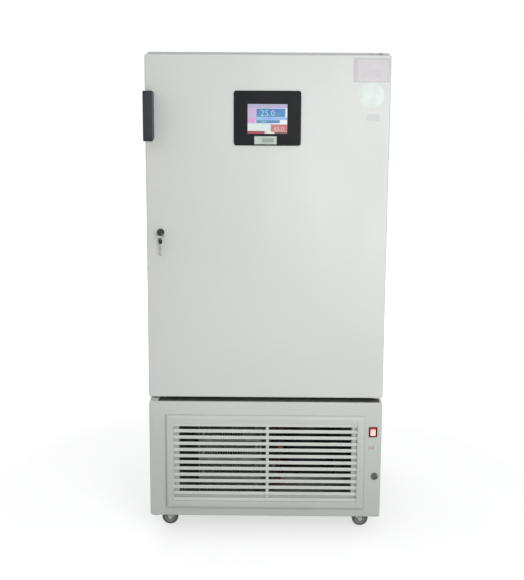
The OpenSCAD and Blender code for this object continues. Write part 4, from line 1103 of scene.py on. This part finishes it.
@dataclass
class Grille:
    """Louvre grille of the access door: frame with bevelled edges, raised fold, bars and mullion.

    Attributes:
        area: Outline of the frame.
        front: Depth of its front.
        border: Width of the frame.
        bevel: Rounding of its outer edge.
        bars: Number of bars.
        bar_height: Height of one bar.
        bar_depth: Thickness of one bar.
        bar_front: Depth of the front of the bars.
        mullion: X of the mullion's sides.
        fold: Outline of the fold.
        fold_front: Depth of its front.
        fold_back: Depth of its back, inside the frame.
        fold_width: Its width.
    """

    area: Area = Area(-300.0, 93.0, 300.0, 387.0)
    front: float = -342.0
    border: float = 24.0
    bevel: Round = Round(9.0, 5)
    bars: int = 13
    bar_height: float = 10.4
    bar_depth: float = 4.0
    bar_front: float = -338.0
    mullion: Flat = (1.5, 10.5)
    fold: Area = Area(-282.0, 102.0, 282.0, 378.0)
    fold_front: float = -342.9
    fold_back: float = -340.0
    fold_width: float = 4.0

    def build(self) -> None:
        """Builds the frame, the fold, the bars and the mullion."""
        frame = Shop.hoop("grille_surround", self.area, self.front, DOOR_FRONT, self.border)
        Shop.round_edges(frame, self._outer, *self.bevel)
        Shop.soften(frame, 0.8, 2)
        Shop.hand_over(frame, Finishes.access_paint, "access_door", "cabinet_paint", ("grille_frame",))
        fold = Shop.hoop("grille_fold", self.fold, self.fold_front, self.fold_back, self.fold_width)
        Shop.soften(fold, 0.6, 2)
        Shop.hand_over(fold, Finishes.access_paint, "access_door", "cabinet_paint")
        self._bars()

    def _outer(self, first: Vector, second: Vector) -> bool:
        """Whether an edge belongs to the outer outline of the frame's front."""
        at_side = min(abs(first.x), abs(second.x)) > self.area.right - 1
        at_end = max(first.z, second.z) < self.area.low + 1 or min(first.z, second.z) > self.area.high - 1
        return at_depth(self.front)(first, second) and (at_side or at_end)

    def _bars(self) -> None:
        """Builds one rounded bar, repeats it and adds the mullion."""
        hole = self.area.shrunk(self.border)
        back = self.bar_front + self.bar_depth
        pitch = (hole.high - self.bar_height - hole.low) / (self.bars - 1)
        bar = Shop.block("bar_master", (hole.left, self.bar_front, hole.low),
                         (hole.right, back, hole.low + self.bar_height))
        Shop.round_edges(bar, along_x, width=1.3, steps=4)
        Shop.modify(bar, "ARRAY", count=self.bars, use_relative_offset=False, use_constant_offset=True,
                    constant_offset_displace=(0.0, 0.0, pitch * MM))
        left, right = self.mullion
        post = Shop.block("mullion", (left, back, hole.low), (right, DOOR_FRONT - 1, hole.high))
        Shop.round_edges(post, along_z, width=0.8, steps=2)
        bars = Shop.join("louvre_bars", [bar, post])
        Shop.hand_over(bars, Finishes.bar_paint, "access_door", "grille_paint", ("grille_bars",))


@dataclass
class PowerSwitch:
    """Frame of the lit mains rocker, and the generic on and off marks under it.

    Attributes:
        x: X of its middle.
        z: Height of its middle.
        width: Width of its frame.
        height: Height of its frame.
        front: Depth of the front of the frame.
        mouth: Width and height of the opening for the rocker.
        sunk: Depth of that opening in the frame.
        on_mark: Outline of the bar that marks on.
        off_x: X of the middle of the ring that marks off.
        off_size: Diameter of that ring's middle line, and of its wire before it is pressed flat.
        pressed: Share of its thickness that the ring keeps.
    """

    x: float = 324.0
    z: float = 337.0
    width: float = 25.0
    height: float = 31.0
    front: float = -333.0
    mouth: Flat = (15.8, 24.4)
    sunk: float = 2.6
    on_mark: Area = Area(313.0, 282.0, 314.8, 292.0)
    off_x: float = 323.4
    off_size: Flat = (8.4, 1.6)
    pressed: float = 0.25

    def build(self) -> None:
        """Builds the frame with its mouth, and the marks."""
        frame = Shop.slab("switch_surround", Area.about(self.x, self.z, self.width, self.height), self.front,
                          DOOR_FRONT, corner=Round(2.0, 4), front_edge=Round(1.0, 3))
        mouth = Area.about(self.x, self.z, *self.mouth)
        face = facing_front(self.front)
        Shop.score(frame, face, mouth)
        Shop.push(frame, inside(face, mouth), (0.0, self.sunk, 0.0))
        Shop.hand_over(frame, Finishes.switch_frame, "access_door", "switch_frame")
        self._marks()

    def _marks(self) -> None:
        """Adds a bar and a ring pressed flat on the door, the generic marks of on and off."""
        bar = Shop.slab("mark_on", self.on_mark, DOOR_FRONT - 0.25, DOOR_FRONT, front_edge=Round(0.2, 2))
        z = self.on_mark.middle[1]
        ring = Shop.ring("mark_off", (self.off_x, DOOR_FRONT - 0.05, z), *self.off_size, sides=48)
        Shop.edit_all(ring)
        bpy.ops.transform.resize(value=(1.0, self.pressed, 1.0),
                                 center_override=(self.off_x * MM, DOOR_FRONT * MM, z * MM))
        bpy.ops.object.mode_set(mode="OBJECT")
        for mark in (bar, ring):
            Shop.hand_over(mark, Finishes.red_ink, "access_door", "switch_frame")


@dataclass
class Labels:
    """Bare labels and a bare round sticker at the upper right of the door.

    Attributes:
        plate: Outline of the label.
        small: Outline of the small label.
        round_x: X of the sticker's middle.
        round_z: Height of the sticker's middle.
        diameter: Diameter of the sticker.
        thick: Thickness of the sticker.
    """

    plate: Area = Area(243.0, 1372.0, 346.0, 1440.0)
    small: Area = Area(283.0, 1264.0, 320.0, 1282.0)
    round_x: float = 296.0
    round_z: float = 1335.5
    diameter: float = 72.0
    thick: float = 0.45

    def build(self) -> None:
        """Builds the bare labels and the sticker."""
        self._film("door_label", self.plate, 0.5, Finishes.label_film, Round(3.0, 5))
        self._film("door_label_field", self.plate.trimmed(12.0, 3.0, 4.0, 5.0), 0.62, Finishes.label_field)
        self._film("door_label_band", self.plate.trimmed(21.0, 12.0, 26.0, 32.0), 0.7, Finishes.label_band)
        self._film("door_small_label", self.small, 0.3, Finishes.small_film)
        face = DOOR_FRONT - self.thick
        disc = Shop.rod("door_sticker", (self.round_x, face, self.round_z), self.thick, self.diameter,
                        sides=72)
        Shop.inset(disc, facing_front(face), thickness=3.0)
        Shop.inset(disc, around(facing_front(face), self.round_x, self.round_z), thickness=0.3, depth=0.12)
        Shop.hand_over(disc, Finishes.sticker_film, "main_door", "inner_panel")

    @staticmethod
    def _film(name: str, area: Area, proud: float, finish: Finish, corner: Round = Round(1.5, 4)) -> None:
        """Lays one bare field of film on the door or on the label.

        Args:
            name: Name of the piece.
            area: Its outline.
            proud: How far its face stands proud of the door.
            finish: Its finish.
            corner: Rounding of its corners.
        """
        film = Shop.slab(name, area, DOOR_FRONT - proud, DOOR_FRONT, corner)
        Shop.hand_over(film, finish, "main_door", "inner_panel")


@dataclass
class SpareKey:
    """Spare key that hangs on the ring: dark head and bright blade.

    Attributes:
        place: Middle of the head.
        turn: Turn about the upright through that point, in degrees.
        head: Diameter of the head.
        thick: Thickness of the head.
        eye: Diameter of the hole that the ring runs through.
        eye_up: Height of the hole over the head's middle.
        blade: Length, width and thickness of the blade.
        root: How far the blade reaches into the head.
        teeth: Number of its teeth.
        tooth: Height of one tooth, and of the plain tip under the first.
        tooth_out: How far a tooth stands out.
        tooth_root: How far it reaches into the blade.
        pitch: Distance from tooth to tooth.
    """

    place: Point = (-309.0, -346.5, 915.0)
    turn: float = 40.0
    head: float = 18.0
    thick: float = 2.4
    eye: float = 5.2
    eye_up: float = 5.0
    blade: Point = (36.0, 7.0, 2.0)
    root: float = 2.0
    teeth: int = 4
    tooth: float = 3.0
    tooth_out: float = 1.6
    tooth_root: float = 0.2
    pitch: float = 6.5

    def build(self) -> None:
        """Builds the head and the blade."""
        x, y, z = self.place
        head = Shop.rod("spare_key_head", (x - self.thick / 2, y, z), self.thick, self.head, 48, Axis.X)
        eye = Shop.rod("spare_key_eye", (x - self.thick, y, z + self.eye_up), 2 * self.thick, self.eye, 32,
                       Axis.X)
        Shop.subtract(head, eye)
        length, width, thick = self.blade
        left, right, edge = x - thick / 2, x + thick / 2, y + width / 2
        top = z - self.head / 2 + self.root
        pieces = [Shop.block("spare_key_blade", (left, y - width / 2, top - length), (right, edge, top))]
        for index in range(self.teeth):
            low = top - length + self.tooth + index * self.pitch
            pieces.append(Shop.block("tooth", (left, edge - self.tooth_root, low),
                                     (right, edge + self.tooth_out, low + self.tooth)))
        blade = Shop.join("spare_key_blade", pieces)
        for piece in (head, blade):
            Shop.spin(piece, self.place, self.turn)
        Shop.soften(head, 0.5, 2)
        Shop.hand_over(head, Finishes.key_head, "key_bunch", "black_plastic", ("spare_key",))
        Shop.hand_over(blade, Finishes.key_metal, "key_bunch", "lock_metal")


@dataclass
class GapShadeStrip:
    """Dark strip on top of the access door, a painted shadow: it stands for the shade in the gap under the
    main door.

    Attributes:
        low: Its lower left front corner, clear of the hinge.
        high: Its upper right back corner.
    """

    low: Point = (-321.0, -326.5, 428.0)
    high: Point = (341.0, -273.5, 429.6)

    def build(self) -> None:
        """Builds the strip."""
        # The dark strip is painted shadow: the shade that the main door casts into the gap.
        strip = Shop.block("gap_shade_strip", self.low, self.high)
        Shop.soften(strip, 0.5, 2)
        Shop.hand_over(strip, Finishes.gap_shade_rubber, "access_door", "black_plastic")


@dataclass
class InnerDoor:
    """Inside of the main door: moulded panel with a raised plug, and the magnetic gasket round it.

    Attributes:
        area: Outline of the panel.
        sheet: Thickness of the panel.
        plug: Outline of the plug.
        reach: How far the plug stands into the chamber.
        field_rim: Width of the plug's rim round its raised field.
        field_up: How far the field stands over the plug.
        field_root: How far the field reaches into the plug.
        seal: Outline of the gasket.
        seal_width: Width of its foot.
        foot: Thickness of its foot.
        shoulder: Width of the foot that shows on each side of the bead.
        groove: Width of the bead on each side of its groove.
        seal_back: Depth at which the gasket meets the frame.
    """

    area: Area = Area(-336.0, 456.0, 336.0, 1434.0)
    sheet: float = 1.5
    plug: Area = Area(-283.0, 510.0, 283.0, 1383.0)
    reach: float = 16.0
    field_rim: float = 34.0
    field_up: float = 1.4
    field_root: float = 1.0
    seal: Area = Area(-322.0, 471.0, 322.0, 1422.0)
    seal_width: float = 24.0
    foot: float = 2.0
    shoulder: float = 5.0
    groove: float = 4.6
    seal_back: float = -264.3

    def build(self) -> None:
        """Builds the panel and the gasket."""
        low, lid = DOOR_BACK - self.sheet, DOOR_BACK + self.reach
        panel = Shop.join("inner_door_panel", [
            Shop.slab("panel_flange", self.area, low, DOOR_BACK, corner=Round(6.0, 4)),
            Shop.slab("panel_plug", self.plug, low, lid, corner=Round(14.0, 6), back_edge=Round(6.0, 5)),
            Shop.slab("panel_field", self.plug.shrunk(self.field_rim), lid - self.field_root,
                      lid + self.field_up, corner=Round(12.0, 6), back_edge=Round(1.3, 3)),
        ])
        Shop.hand_over(panel, Finishes.inner_panel, "main_door", "inner_panel", ("door_inner_panel",))
        self._gasket()

    def _gasket(self) -> None:
        """Builds the gasket: a flat foot, and on it a bead with a groove all round."""
        top = DOOR_BACK + self.foot
        gasket = Shop.hoop("magnetic_gasket", self.seal, DOOR_BACK, top, self.seal_width)
        Shop.inset(gasket, facing_back(top), self.shoulder)
        Shop.push(gasket, self._away(facing_back(top), self.shoulder), (0.0, self.seal_back - top, 0.0))
        crown = facing_back(self.seal_back)
        Shop.inset(gasket, crown, self.groove)
        Shop.inset(gasket, self._away(crown, self.shoulder + self.groove), thickness=0.8, depth=-1.6)
        Shop.soften(gasket, 0.7, 2)
        Shop.hand_over(gasket, Finishes.gasket, "main_door", "gasket", ("door_gasket",))

    def _away(self, faces: Test, inset: float) -> Test:
        """Narrows a test to the faces that lie well inside the gasket's foot.

        Args:
            faces: The test.
            inset: Distance from both sides of the foot that a face's middle has to pass.

        Returns:
            The narrower test.
        """
        line = self.seal.shrunk(self.seal_width / 2)

        def test(middle: Vector, normal: Vector) -> bool:
            """Whether a face lies near enough to the middle line of the foot."""
            off = min(abs(abs(middle.x) - line.right), abs(middle.z - line.low), abs(middle.z - line.high))
            return faces(middle, normal) and off < self.seal_width / 2 - inset + 0.01

        return test


@dataclass
class Castors:
    """Wheels of the four swivel castors: tyre, sunk web and hub, each in one piece.

    Attributes:
        diameter: Diameter of the wheel.
        width: Its width.
        tyre: Width of the tyre's flat side.
        sunk: How deep the web lies under the tyre's side.
        web: Width of the web between tyre and hub.
        web_radius: Radius within which the wheel has the web's plastic.
        tyre_edge: Rounding of the tyre.
        places: Name of each wheel's body, with X and Y of its middle.
    """

    diameter: float = 50.0
    width: float = 18.0
    tyre: float = 3.2
    sunk: float = 2.4
    web: float = 8.4
    web_radius: float = 18.2
    tyre_edge: Round = Round(4.0, 4)
    places: tuple[tuple[str, float, float], ...] = (
        ("front_left", -298.0, -230.0), ("front_right", 298.0, -230.0),
        ("rear_left", -298.0, 336.0), ("rear_right", 298.0, 336.0),
    )

    def build(self) -> None:
        """Builds one wheel, copies it to each fork and hands it over."""
        radius, half = self.diameter / 2, self.width / 2
        master = Shop.rod("wheel_master", (0.0, -half, radius), self.width, self.diameter, sides=64)
        for facing, side in ((facing_front, -1), (facing_back, 1)):
            Shop.round_edges(master, at_depth(side * half), *self.tyre_edge)
            lid = around(facing(side * half), 0.0, radius)
            Shop.inset(master, lid, thickness=self.tyre)
            Shop.inset(master, lid, thickness=0.6, depth=-self.sunk)
            web = around(facing(side * (half - self.sunk)), 0.0, radius)
            Shop.inset(master, web, thickness=self.web)
            Shop.inset(master, web, thickness=0.8, depth=self.sunk)
        Shop.soften(master, 0.4, 2)
        for name, x, y in self.places:
            wheel = Shop.copy(master, f"castor_wheel_{name}", (x, y, 0.0))
            Shop.hand_over(wheel, Finishes.tyre, f"wheel_{name}", "wheel_rubber", (f"caster_wheel_{name}",),
                           smooth=40.0)
            self._paint_web(wheel, x)
        bpy.data.objects.remove(master)

    def _paint_web(self, wheel: Piece, x: float) -> None:
        """Gives the web and hub of a wheel their own plastic."""
        wheel.data.materials.append(Finishes.wheel_web.build())
        for face in wheel.data.polygons:
            middle = face.center / MM
            if math.hypot(middle.x - x, middle.z - self.diameter / 2) < self.web_radius:
                face.material_index = 1


@dataclass
class BackFittings:
    """Screws round the back panel, and a bare rating plate.

    Attributes:
        back: Depth of the back panel.
        side: X of the screws at both sides.
        heights: Heights of the screws at both sides.
        across: X of the screws along the top and the bottom.
        edges: Heights of those two rows.
        screw: Diameter and height of a screw's head.
        slot: Length, width and depth of its slot.
        plate: Outline of the rating plate.
        proud: How far the plate stands proud of the panel.
    """

    back: float = 370.0
    side: float = 338.0
    heights: tuple[float, ...] = (110.0, 330.0, 550.0, 770.0, 990.0, 1210.0, 1410.0)
    across: tuple[float, ...] = (-225.0, -75.0, 75.0, 225.0)
    edges: tuple[float, ...] = (82.0, 1441.0)
    screw: Flat = (9.0, 2.6)
    slot: Point = (6.4, 1.2, 1.2)
    plate: Area = Area(-52.0, 690.0, 52.0, 756.0)
    proud: float = 0.8

    def build(self) -> None:
        """Builds the screws and the plate."""
        places = [(x, z) for z in self.heights for x in (-self.side, self.side)]
        places += [(x, z) for z in self.edges for x in self.across]
        master = self._screw()
        screws = [Shop.copy(master, "screw", (x, self.back, z)) for x, z in places]
        bpy.data.objects.remove(master)
        Shop.hand_over(Shop.join("back_screws", screws), Finishes.screw_zinc, "cabinet", "screw_steel")
        face = self.back + self.proud
        plate = Shop.slab("rating_plate", self.plate, self.back, face, corner=Round(4.0, 5))
        Shop.inset(plate, facing_back(face), thickness=3.0)
        Shop.inset(plate, around(facing_back(face), *self.plate.middle), thickness=0.4, depth=-0.3)
        Shop.hand_over(plate, Finishes.rating_plate, "cabinet", "lock_metal")

    def _screw(self) -> Piece:
        """Models one domed screw head with its slot, at the origin."""
        diameter, height = self.screw
        length, width, depth = self.slot
        head = Shop.rod("screw_master", (0.0, 0.0, 0.0), height, diameter, sides=24)
        Shop.round_edges(head, at_depth(height), width=1.6, steps=3)
        slot = Area.about(0.0, 0.0, length, width)
        Shop.score(head, facing_back(height), slot)
        Shop.push(head, inside(facing_back(height), slot), (0.0, -depth, 0.0))
        return head


@dataclass(frozen=True)
class Lamp:
    """Soft square lamp.

    Attributes:
        name: Name of the lamp.
        place: Where it hangs, in metres.
        aim: The point that it faces, in metres.
        size: Side of the lamp, in metres.
        power: Its power, in watts.
    """

    name: str
    place: Point
    aim: Point
    size: float
    power: float

    def hang(self) -> None:
        """Adds the lamp to the scene, out of the camera's sight."""
        light = bpy.data.lights.new(self.name, "AREA")
        light.size = self.size
        light.energy = self.power
        lamp = bpy.data.objects.new(self.name, light)
        lamp.visible_camera = False
        bpy.context.collection.objects.link(lamp)
        lamp.location = self.place
        lamp.rotation_euler = (Vector(self.aim) - Vector(self.place)).to_track_quat("-Z", "Y").to_euler()


@dataclass
class Studio:
    """Pale floor, soft lamps and the camera at the photograph's place.

    Attributes:
        eye: Place of the camera, in metres.
        pitch: Degrees that the camera looks down.
        yaw: Degrees that the camera looks to the left.
        roll: Degrees that the camera leans to the left.
        focal: Focal length over the 36 mm sensor, in millimetres.
        floor_size: Side of the floor, in metres.
        floor_grey: Level of the floor's paint, which takes the shadow.
        floor_glow: Level that the floor adds to the camera's sight at the cabinet.
        clear_from: Distance from the cabinet where the floor starts to clear to white, in metres.
        clear_to: Distance where it's white, in metres.
        sky: Colour of the world's light.
        sky_power: Strength of the world's light.
        lamps: The lamps.
    """

    eye: Point = (0.0119, -3.5575, 1.3885)
    pitch: float = 10.85
    yaw: float = 0.4385
    roll: float = 0.3236
    focal: float = 69.365
    floor_size: float = 30.0
    floor_grey: float = 0.56
    floor_glow: float = 0.6
    clear_from: float = 0.9
    clear_to: float = 3.0
    sky: Colour = (0.97, 0.98, 1.0, 1.0)
    sky_power: float = 0.5
    lamps: tuple[Lamp, ...] = (
        Lamp("key_lamp", (0.7, -2.35, 1.25), (0.1, -0.33, 1.1), 1.1, 23.5),
        Lamp("high_lamp", (-1.4, -3.4, 2.9), (0.0, 0.0, 0.8), 2.6, 10.0),
        Lamp("fill_lamp", (2.4, -3.2, 1.4), (0.0, 0.0, 0.7), 2.4, 8.0),
        Lamp("back_lamp", (-1.2, 3.2, 2.8), (0.0, 0.2, 0.9), 2.4, 34.0),
    )

    def build(self) -> None:
        """Builds the camera, the floor, the world and the lamps."""
        self._camera()
        self._floor()
        self._world()
        for lamp in self.lamps:
            lamp.hang()
        bpy.context.scene.view_settings.view_transform = "Standard"

    def _camera(self) -> None:
        """Adds the scene's camera."""
        lens = bpy.data.cameras.new("camera")
        lens.lens = self.focal
        lens.sensor_width = 36.0
        camera = bpy.data.objects.new("camera", lens)
        bpy.context.collection.objects.link(camera)
        camera.rotation_mode = "XYZ"
        camera.location = self.eye
        camera.rotation_euler = (math.radians(90 - self.pitch), 0.0, math.radians(self.yaw))
        camera.rotation_euler.rotate_axis("Z", math.radians(self.roll))
        bpy.context.scene.camera = camera

    def _floor(self) -> None:
        """Adds the pale floor, which stays white to the camera and keeps the shadow."""
        bpy.ops.mesh.primitive_plane_add(size=self.floor_size, location=(0, 0, 0))
        floor = bpy.context.active_object
        floor.name = "studio_floor"
        material = bpy.data.materials.new("studio_floor")
        material.use_nodes = True
        material.node_tree.nodes.clear()
        wiring = Wiring(material.node_tree)
        grey = self.floor_grey
        paint = wiring.add("BsdfDiffuse", Color=(grey, grey, grey, 1.0))
        away = wiring.add("VectorMath", {"operation": "LENGTH"})
        wiring.put(away, 0, wiring.add("TexCoord").outputs["Object"])
        glow = wiring.levels(away.outputs["Value"], (self.clear_from, self.clear_to), (self.floor_glow, 1.0))
        light = wiring.add("Emission", Color=(1.0, 1.0, 1.0, 1.0), Strength=glow)
        black = wiring.add("Emission", Strength=0.0)
        both = wiring.add("AddShader")
        wiring.put(both, 0, paint.outputs["BSDF"])
        wiring.put(both, 1, self._by_sight(wiring, black.outputs["Emission"], light.outputs["Emission"]))
        wiring.add("OutputMaterial", Surface=both.outputs["Shader"])
        floor.data.materials.append(material)

    @staticmethod
    def _by_sight(wiring: Wiring, unseen: Socket, seen: Socket) -> Socket:
        """Adds a mix that shows one shader where it's looked at, directly, in a mirror or through glass.

        Args:
            wiring: The nodes of the material or of the world.
            unseen: Shader that lights the object.
            seen: Shader that is looked at.

        Returns:
            The socket of the mix.
        """
        ray = wiring.add("LightPath")
        total = ray.outputs["Is Camera Ray"]
        for name in ("Is Glossy Ray", "Is Transmission Ray"):
            either = wiring.add("Math", {"operation": "ADD", "use_clamp": True})
            wiring.put(either, 0, total)
            wiring.put(either, 1, ray.outputs[name])
            total = either.outputs["Value"]
        mix = wiring.add("MixShader", Fac=total)
        wiring.put(mix, 1, unseen)
        wiring.put(mix, 2, seen)
        return mix.outputs["Shader"]

    def _world(self) -> None:
        """Sets a soft sky that the camera sees as white."""
        world = bpy.data.worlds.new("studio_sky")
        world.use_nodes = True
        world.node_tree.nodes.clear()
        wiring = Wiring(world.node_tree)
        sky = wiring.add("Background", Color=self.sky, Strength=self.sky_power)
        white = wiring.add("Background", Color=(1.0, 1.0, 1.0, 1.0), Strength=1.0)
        surface = self._by_sight(wiring, sky.outputs["Background"], white.outputs["Background"])
        wiring.add("OutputWorld", Surface=surface)
        bpy.context.scene.world = world


def main() -> None:
    """Loads the frame, dresses it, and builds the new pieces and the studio."""
    logging.basicConfig(level=logging.INFO, format="%(message)s")
    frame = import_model()
    dress_frame(frame["nodes"])
    Studio().build()
    door = DoorPan("door_skin", "main_door", "door_shell", Finishes.door_paint,
                   Area(-350.0, 442.0, 350.0, 1448.0))
    access = DoorPan("access_skin", "access_door", "access_panel", Finishes.access_paint,
                     Area(-350.0, 66.0, 350.0, 428.0), opening=Area(-260.0, 137.5, 260.0, 350.5))
    for assembly in (door, access, Controller(), Handle(), Grille(), PowerSwitch(), Labels(), SpareKey(),
                     GapShadeStrip(), InnerDoor(), Castors(), BackFittings()):
        assembly.build()


if __name__ == "__main__":
    main()
